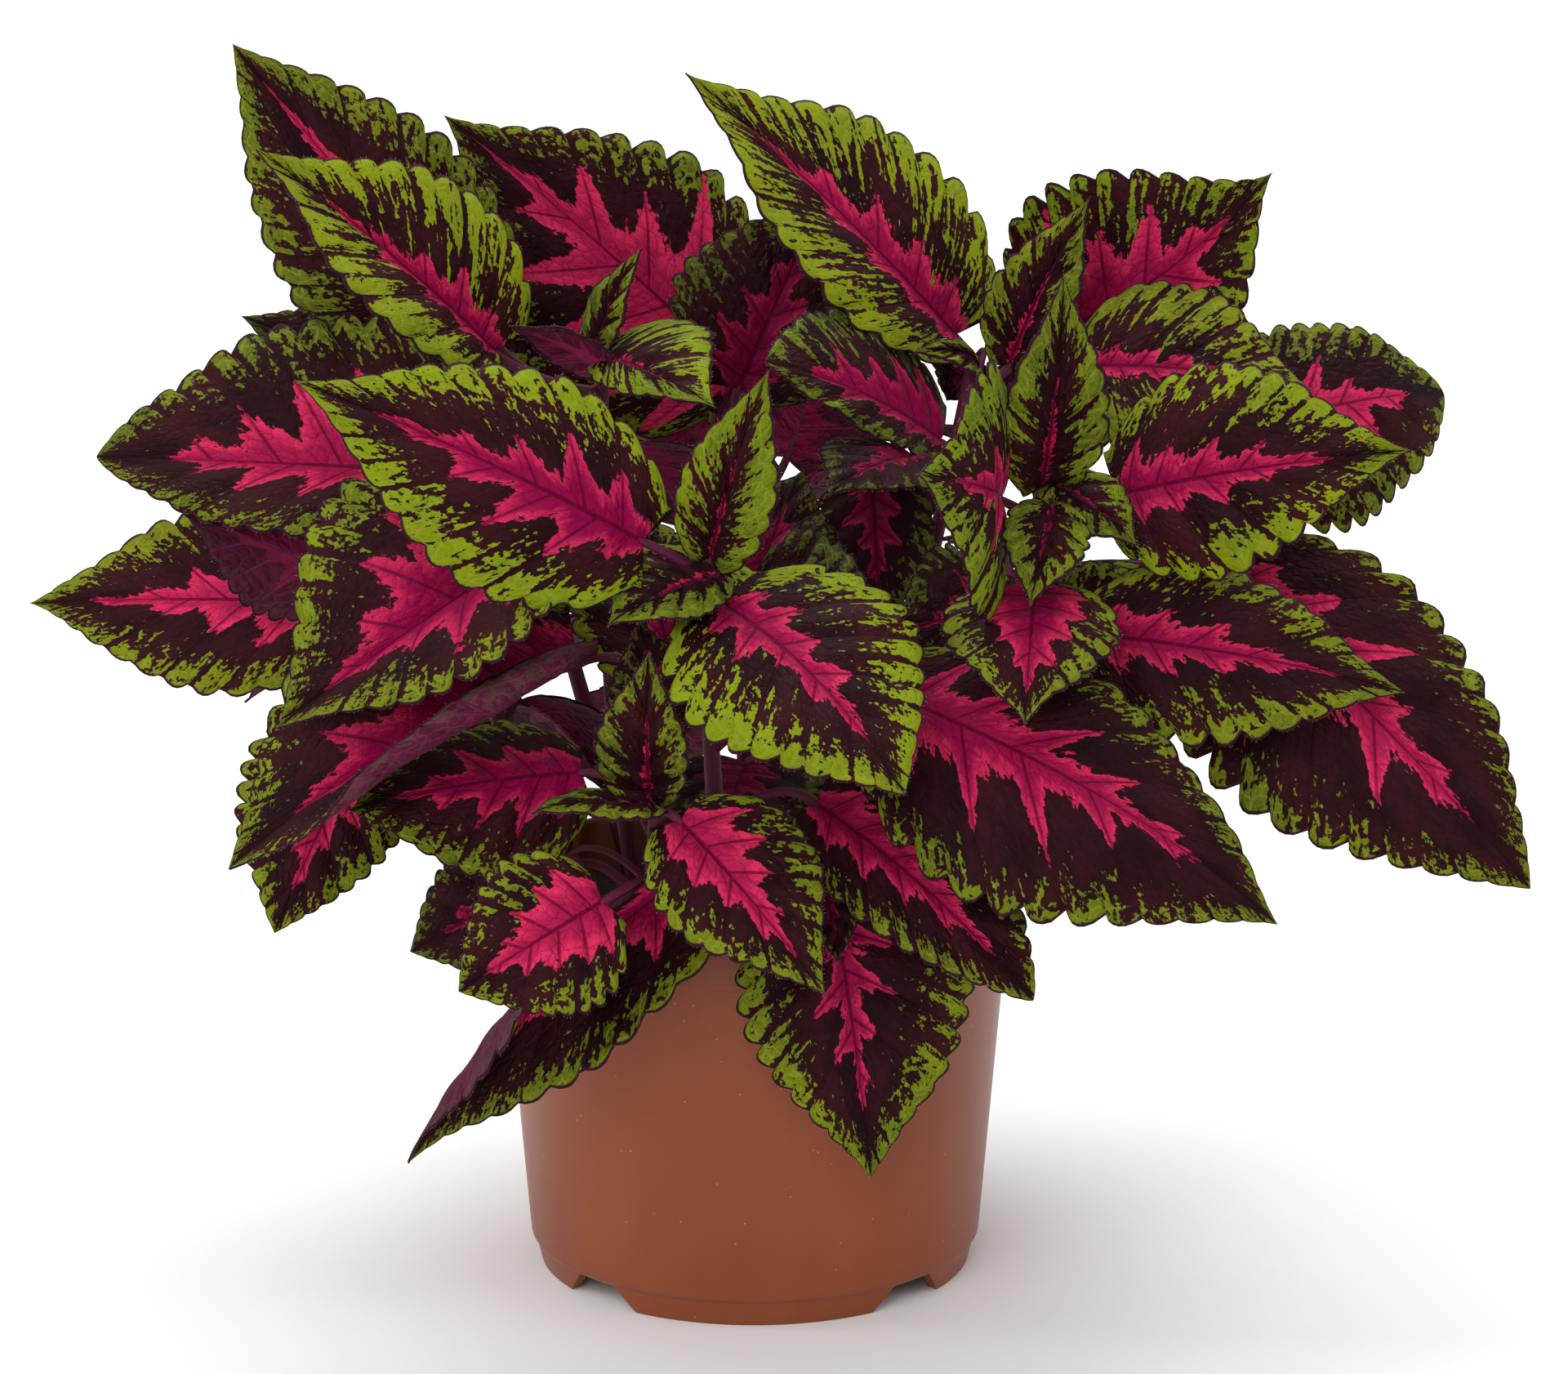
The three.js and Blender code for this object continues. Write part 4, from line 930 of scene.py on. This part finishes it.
def blade(leaf, name, node, draw):
    """A leaf's blade: two skins with raised and sunken veins, the rim between them, and hairs on it."""
    rows = int(round(leaf["veins"] * 2)) * leaf["rows"]
    step = np.arange(-leaf["columns"], leaf["columns"] + 1) / leaf["columns"]
    u, t = np.meshgrid(np.linspace(0, 1, rows + 1), np.sign(step) * np.abs(step) ** COLUMN_CROWDING,
                       indexing="ij")
    phase = u * leaf["veins"] + (t > 0) * leaf["stagger"]
    notch = 1 - (1 - teeth(phase, u, t, draw)) * np.abs(t) ** TOOTH_INWARDS
    middle, s, reach = blade_points(leaf, u, t, notch)
    normal = normals(middle, leaf["out"])
    lift, midrib, ribs = relief(leaf, phase, u, t, reach)
    middle = middle + lift[..., None] * normal
    upper = middle + normal * (BLADE / 2 - MIDRIB_GROOVE * midrib)[..., None]
    lower = middle - normal * (BLADE / 2 + ribs * leaf["ribbed"])[..., None]
    points = np.concatenate([upper.reshape(-1, 3), lower.reshape(-1, 3)])
    parts = skin_faces(*u.shape)
    a, b, c = points[parts[0][len(parts[0]) // 2][:3]]
    if np.cross(b - a, c - a) @ leaf["out"] < 0:
        parts = [[face[::-1] for face in part] for part in parts]
    skin, rim = parts[0] + parts[1], parts[2]
    maps = skin_maps(leaf, u, t, s, reach, skin, rim)
    faces = skin + rim
    points = add_hairs(fringe((upper + lower) / 2, u, draw), points, faces, maps)
    piece(name, points, faces, node, "foliage", leaf_material(name, leaf["pattern"]), maps)


# ---- stems and petioles ----

STEM_MAUVE = srgb(82, 16, 52)
STEM_BROWN = srgb(70, 30, 34)
STEM_GREEN = srgb(96, 72, 44)


def stem_material():
    """Mauve-purple with greener flanks, fine lengthwise grain and a soft sheen."""
    material, net, shader = new_material("stem")
    place = net.place()
    x, y, z = net.split(place)
    brown = net.step(net.noise(place, 60.0), 0.4, 0.7)
    grain = net.noise(net.point(x * 2500, y * 2500, z * 220))
    colour = net.mix(STEM_MAUVE, (brown, STEM_BROWN), (net.step(grain, 0.45, 0.8) * 0.3, STEM_GREEN))
    inputs = {"Base Color": colour, "Roughness": 0.5 + grain * 0.15, "Specular IOR Level": 0.15}
    dress(net, shader, inputs, grain, 0.35, 0.2)
    return material


def smooth_path(points, steps):
    """A smooth line through the points, by Catmull and Rom's rule."""
    p = np.array(points, float)
    p = np.concatenate([[2 * p[0] - p[1]], p, [2 * p[-1] - p[-2]]])
    made = []
    for i in range(1, len(p) - 2):
        for k in range(steps):
            f = k / steps
            a, b, c, d = p[i - 1 : i + 3]
            made.append(0.5 * (2 * b + (c - a) * f + (2 * a - 5 * b + 4 * c - d) * f * f
                               + (3 * b - a - 3 * c + d) * f**3))
    made.append(p[-2])
    return np.array(made)


def tube(path, radii, sides, square, up):
    """Points and faces of a closed tube along a path. square 0 is round and 1 has four flat sides."""
    along = unit(np.gradient(path, axis=0))
    side = unit(np.cross(along, up))
    over = np.cross(side, along)
    angles = np.arange(sides) * 2 * np.pi / sides
    cos, sin = np.cos(angles), np.sin(angles)
    shape = (np.abs(cos) ** (1 + square) + np.abs(sin) ** (1 + square)) ** (-1 / (1 + square))
    shape = 1 + (shape - 1) * square
    rings = path[:, None] + radii[:, None, None] * (
        side[:, None] * (shape * cos)[None, :, None] + over[:, None] * (shape * sin)[None, :, None])
    last = (len(path) - 1) * sides
    faces = [side_face(first, i, sides) for first in range(0, last, sides) for i in range(sides)]
    faces += [list(range(sides))[::-1], list(range(last, last + sides))]
    return rings.reshape(-1, 3), [face[::-1] for face in faces]


def on_stem(stem, base):
    """Where a petiole leaves the stem: below its blade by a share of the way it has to cross."""
    top = stem[-1]
    away = float(np.hypot(*(base - top)[:2]))
    height = min(base[2] - PETIOLE_CLIMB * away, top[2]) - PETIOLE_SEAT
    for before, after in zip(stem, stem[1:]):
        if after[2] >= height:
            share = max((height - before[2]) / (after[2] - before[2]), 0)
            return before + (after - before) * share
    return top


def petiole(stem, leaf):
    """A tube from the stem to the blade, which runs on under the midrib and thins out there."""
    base, out = leaf["start"], leaf["out"]
    start = on_stem(stem, base)
    knee = base - leaf["along"] * PETIOLE_BEND * float(np.linalg.norm(base - start))
    f = np.linspace(0, 1, PETIOLE_RINGS[2] + 1)[:, None]
    bend = bent(start, knee, base, f)
    under, _, _ = blade_points(leaf, np.array(PETIOLE_UNDER), np.zeros(3), np.ones(3))
    path = np.concatenate([bend - out * f * PETIOLE_BELOW, under - out * PETIOLE_END_BELOW])
    radii = np.interp(np.arange(len(path)), PETIOLE_RINGS, PETIOLE_RADII)
    radii = radii * (YOUNG_PETIOLE if leaf["width"] < YOUNG else 1.0)
    return tube(path, radii, PETIOLE_SIDES, PETIOLE_SQUARE, out)


def stem_and_petioles(name, node, passes, leaves, material):
    """One shoot's stem with all its petioles."""
    stem = np.array(passes, float)
    path = smooth_path(stem, STEM_STEPS)
    radii = np.linspace(STEM_RADIUS, STEM_TIP_RADIUS, len(path))
    parts = [tube(path, radii, STEM_SIDES, STEM_SQUARE, np.array([0.0, 1.0, 0.0]))]
    parts += [petiole(stem, leaf) for leaf in leaves]
    piece(name, *joined(parts), node, "foliage", material)


# ---- the pot ----

POT_DARK = srgb(126, 61, 31)
POT_LIGHT = srgb(134, 66, 35)
POT_FLOW = srgb(120, 56, 34)
POT_SPECK = srgb(210, 160, 130)


def pot_material():
    """Terracotta-brown moulded plastic: satin, with faint specks, flow marks and fine scratches."""
    material, net, shader = new_material("pot_plastic")
    place = net.place()
    x, y, z = net.split(place)
    light = net.step(net.noise(place, 18.0), 0.3, 0.7)
    flow = net.noise(net.point(x * 90, y * 90, z * 9), detail=3.0)
    scratch = net.noise(net.point(x * 260, y * 260, z * 2600))
    from_speck, speck_draw = net.cells(place, 900.0)
    speck = net.fall(from_speck, 0.1, 0.3) * (speck_draw > 0.985)
    colour = net.mix(POT_DARK, (light, POT_LIGHT), (net.step(flow, 0.4, 0.75) * 0.25, POT_FLOW),
                     (speck * 0.5, POT_SPECK))
    rough = 0.36 + flow * 0.08 + net.step(scratch, 0.6, 0.75) * 0.08
    inputs = {"Base Color": colour, "Roughness": rough, "Specular IOR Level": 0.3}
    dress(net, shader, inputs, flow * 0.5 + scratch * 0.35, 0.12, 0.2)
    return material


def outer_radius(height):
    """The radius of the pot's body at a height."""
    share = (height - STEP_HEIGHT) / (POT_HEIGHT - RIM_BAND - STEP_HEIGHT)
    return BODY_FOOT_RADIUS + (BODY_TOP_RADIUS - BODY_FOOT_RADIUS) * share


def rounded(corners, radius, steps=4):
    """The corners of a profile, each rounded by short chords; the first and the last stay."""
    corners = [np.array(c, float) for c in corners]
    made = [corners[0]]
    for before, corner, after in zip(corners, corners[1:], corners[2:]):
        back, on = before - corner, after - corner
        cut = min(radius, 0.4 * np.linalg.norm(back), 0.4 * np.linalg.norm(on))
        a = corner + unit(back) * cut
        b = corner + unit(on) * cut
        made += [bent(a, corner, b, k / steps) for k in range(steps + 1)]
    return made + [corners[-1]]


def lathe(profile, sides):
    """Points and faces of a profile of (radius, height) turned round Z; it starts and ends on the axis."""
    angles = np.arange(sides) * 2 * np.pi / sides
    points = [(0, 0, profile[0][1])]
    for radius, height in profile[1:-1]:
        points += [(radius * math.cos(a), radius * math.sin(a), height) for a in angles]
    points.append((0, 0, profile[-1][1]))
    faces = []
    last = len(points) - 1
    for i in range(sides):
        j = (i + 1) % sides
        faces.append([0, 1 + j, 1 + i])
        faces += [side_face(first, i, sides) for first in range(1, last - sides, sides)]
        faces.append([last, last - sides + i, last - sides + j])
    return np.array(points, float), faces


def foot_gap(angle):
    """The space between two feet: a block that is wider at the ground."""
    inner, outer = FOOT_RADIUS - GAP_BEYOND, FOOT_RADIUS + GAP_BEYOND
    cos, sin = math.cos(angle), math.sin(angle)
    corners = []
    for height, half in ((-GAP_BELOW, GAP_HALF_GROUND), (FOOT_HEIGHT, GAP_HALF_TOP)):
        for x, y in ((inner, -half), (outer, -half), (outer, half), (inner, half)):
            corners.append((x * cos - y * sin, x * sin + y * cos, height))
    return corners, [[3, 2, 1, 0], [4, 5, 6, 7]] + [side_face(0, i, 4) for i in range(4)]


def drain(x, y):
    """A drainage hole's room, through the floor."""
    deep = 3 * FLOOR
    points, faces = lathe([(0, 0), (DRAIN_RADIUS, 0), (DRAIN_RADIUS, deep), (0, deep)], DRAIN_SIDES)
    return points + (x, y, FOOT_HEIGHT - FLOOR), faces


def cut(target, tool):
    """Takes the tool's solids away from the target and removes the tool."""
    modifier = target.modifiers.new("cut", "BOOLEAN")
    modifier.operation = "DIFFERENCE"
    modifier.solver = "EXACT"
    modifier.object = tool
    graph = bpy.context.evaluated_depsgraph_get()
    mesh = bpy.data.meshes.new_from_object(target.evaluated_get(graph))
    target.modifiers.remove(modifier)
    target.data = mesh
    bpy.data.objects.remove(tool)


def pot():
    """The pot, turned round its axis, without the gaps between its feet and its drainage holes."""
    floor_top = FOOT_HEIGHT + FLOOR
    rim_foot = POT_HEIGHT - RIM_BAND
    profile = [
        (0, FOOT_HEIGHT), (FOOT_TOP_RADIUS - FOOT_WIDTH, FOOT_HEIGHT), (FOOT_RADIUS - FOOT_WIDTH, 0),
        (FOOT_RADIUS, 0), (FOOT_TOP_RADIUS, FOOT_HEIGHT - FOOT_BEVEL),
        (BODY_FOOT_RADIUS - STEP_IN, STEP_HEIGHT - STEP_DOWN), (BODY_FOOT_RADIUS, STEP_HEIGHT),
        (BODY_TOP_RADIUS, rim_foot), (RIM_RADIUS, rim_foot + RIM_BEVEL), (RIM_RADIUS, POT_HEIGHT),
        (BODY_TOP_RADIUS - WALL, POT_HEIGHT), (outer_radius(floor_top) - WALL, floor_top), (0, floor_top),
    ]
    points, faces = lathe(rounded(profile, POT_ROUNDING), POT_SIDES)
    made = piece("pot_body", points, faces, "pot", "pot", pot_material())
    cuts = [foot_gap(2 * math.pi * (i + 0.5) / FOOT_GAPS) for i in range(FOOT_GAPS)]
    cuts.append(drain(0, 0))
    for i in range(DRAINS):
        angle = 2 * math.pi * i / DRAINS
        cuts.append(drain(DRAIN_RING * math.cos(angle), DRAIN_RING * math.sin(angle)))
    cut(made, mesh_object("cutter", *joined(cuts)))
    made.data.polygons.foreach_set("use_smooth", [True] * len(made.data.polygons))
    made.data.set_sharp_from_angle(angle=math.radians(SHARP_ANGLE))


# ---- the soil ----

CRUMB_DARK = srgb(38, 28, 22)
CRUMB_LIGHT = srgb(78, 58, 42)
FIBRE = srgb(140, 112, 80)
HUMUS = srgb(20, 14, 11)


def soil_material():
    """Dark potting mix: brown crumbs, black ones and a few pale fibres."""
    material, net, shader = new_material("potting_mix")
    place = net.place()
    from_crumb, tone = net.cells(place, 420.0)
    rough = net.noise(place, 900.0, 4.0)
    colour = net.mix(CRUMB_DARK, (tone, CRUMB_LIGHT), ((tone > 0.93) * 0.6, FIBRE),
                     (net.step(rough, 0.3, 0.6, 0.6, 0.0), HUMUS))
    dress(net, shader, {"Base Color": colour, "Roughness": 0.95}, from_crumb * -0.6 + rough, 0.9, 1.2)
    return material


def soil():
    """A lumpy crown from the wall to the middle, on a plain body that fills the pot."""
    draw = np.random.default_rng(SOIL_SEED)
    floor_top = FOOT_HEIGHT + FLOOR + SOIL_OFF_FLOOR
    edge = outer_radius(SOIL_EDGE) - WALL - SOIL_OFF_RIM
    foot = outer_radius(floor_top) - WALL - SOIL_OFF_FOOT
    profile = [(0, floor_top), (foot, floor_top)]
    for k in range(SOIL_RINGS):
        share = 1 - k / SOIL_RINGS
        profile.append((edge * share, SOIL_EDGE + (SOIL_MIDDLE - SOIL_EDGE) * (1 - share**2)))
    points, faces = lathe(profile + [(0, SOIL_MIDDLE)], SOIL_SIDES)
    waves = draw.normal(size=(SOIL_WAVES, 2)) * draw.uniform(*SOIL_WAVINESS, (SOIL_WAVES, 1))
    shifts = draw.uniform(0, 2 * np.pi, SOIL_WAVES)
    lumps = np.sin(points[:, :2] @ waves.T + shifts).sum(1) * LUMP_HEIGHT
    grains = draw.normal(size=len(points)) * GRAIN_HEIGHT
    free = (points[:, 2] > SOIL_EDGE + 0.05) & (np.hypot(points[:, 0], points[:, 1]) < edge - 1)
    points[free, 2] += (lumps + grains)[free]
    piece("potting_mix", points, faces, "soil", "soil", soil_material())


# ---- floor, light and camera ----

# Each light's place, its size, its power and what it shines at.
LIGHTS = {
    "key": ((-0.5, -1.7, 1.1), (1.4, 1.4), 24, (0, 0, 0.15)),
    "top": ((0, 1.2, 2.3), (3.0, 2.4), 70, (0, 1.4, 0)),
    "left": ((-1.5, -0.2, 0.6), (0.5, 1.6), 8, (0, 0, 0.15)),
    "right": ((1.5, -0.2, 0.6), (0.5, 1.6), 6, (0, 0, 0.15)),
}
SKY_STRENGTH = 0.38
FLOOR_COLOUR = (0.9, 0.9, 0.9, 1)


def stage():
    """A plain pale floor."""
    corners = [(x * STAGE_HALF, y * STAGE_HALF, 0) for x, y in ((-1, -1), (1, -1), (1, 1), (-1, 1))]
    floor = mesh_object("floor", corners, [[0, 1, 2, 3]])
    material, net, shader = new_material("floor")
    dress(net, shader, {"Base Color": FLOOR_COLOUR, "Roughness": 0.9, "Specular IOR Level": 0.1})
    floor.data.materials.append(material)


def area_light(name, place, size, power, target):
    """A soft rectangular light that shines at a target."""
    light = bpy.data.lights.new(name, "AREA")
    light.shape = "RECTANGLE"
    light.size, light.size_y = size
    light.energy = power
    lamp = new_object(name, light)
    lamp.location = place
    lamp.rotation_euler = (Vector(target) - Vector(place)).to_track_quat("-Z", "Y").to_euler()


def studio():
    """An even white sky, soft light from above and in front, and a tall soft light on each side."""
    world = bpy.data.worlds.new("studio")
    world.use_nodes = True
    sky = world.node_tree.nodes["Background"]
    sky.inputs["Color"].default_value = (1, 1, 1, 1)
    sky.inputs["Strength"].default_value = SKY_STRENGTH
    bpy.context.scene.world = world
    for name, settings in LIGHTS.items():
        area_light(name, *settings)


def camera():
    """The camera, in front of the pot and above it."""
    data = bpy.data.cameras.new("camera")
    data.sensor_width = SENSOR
    data.sensor_fit = "HORIZONTAL"
    data.lens = FOCAL_PIXELS / IMAGE_WIDTH * SENSOR
    data.clip_end = CAMERA_REACH
    made = new_object("camera", data)
    made.location = CAMERA_PLACE
    made.rotation_euler = (math.radians(90 - CAMERA_DOWN), 0, 0)
    bpy.context.scene.camera = made


# ---- the object ----


def plant():
    """All the shoots: each blade is a piece of its own, and each stem is one with its petioles."""
    material = stem_material()
    number = 0
    for node, (stem, rows) in SHOOTS.items():
        leaves = []
        for index, row in enumerate(rows, 1):
            leaf, draw = finished(row, number)
            blade(leaf, f"{node}_leaf_{index:02d}", node, draw)
            leaves.append(leaf)
            number += 1
        stem_and_petioles(f"{node}_stem", node, stem, leaves, material)


camera()
studio()
stage()
pot()
soil()
plant()

bpy.context.scene.view_settings.view_transform = "Standard"
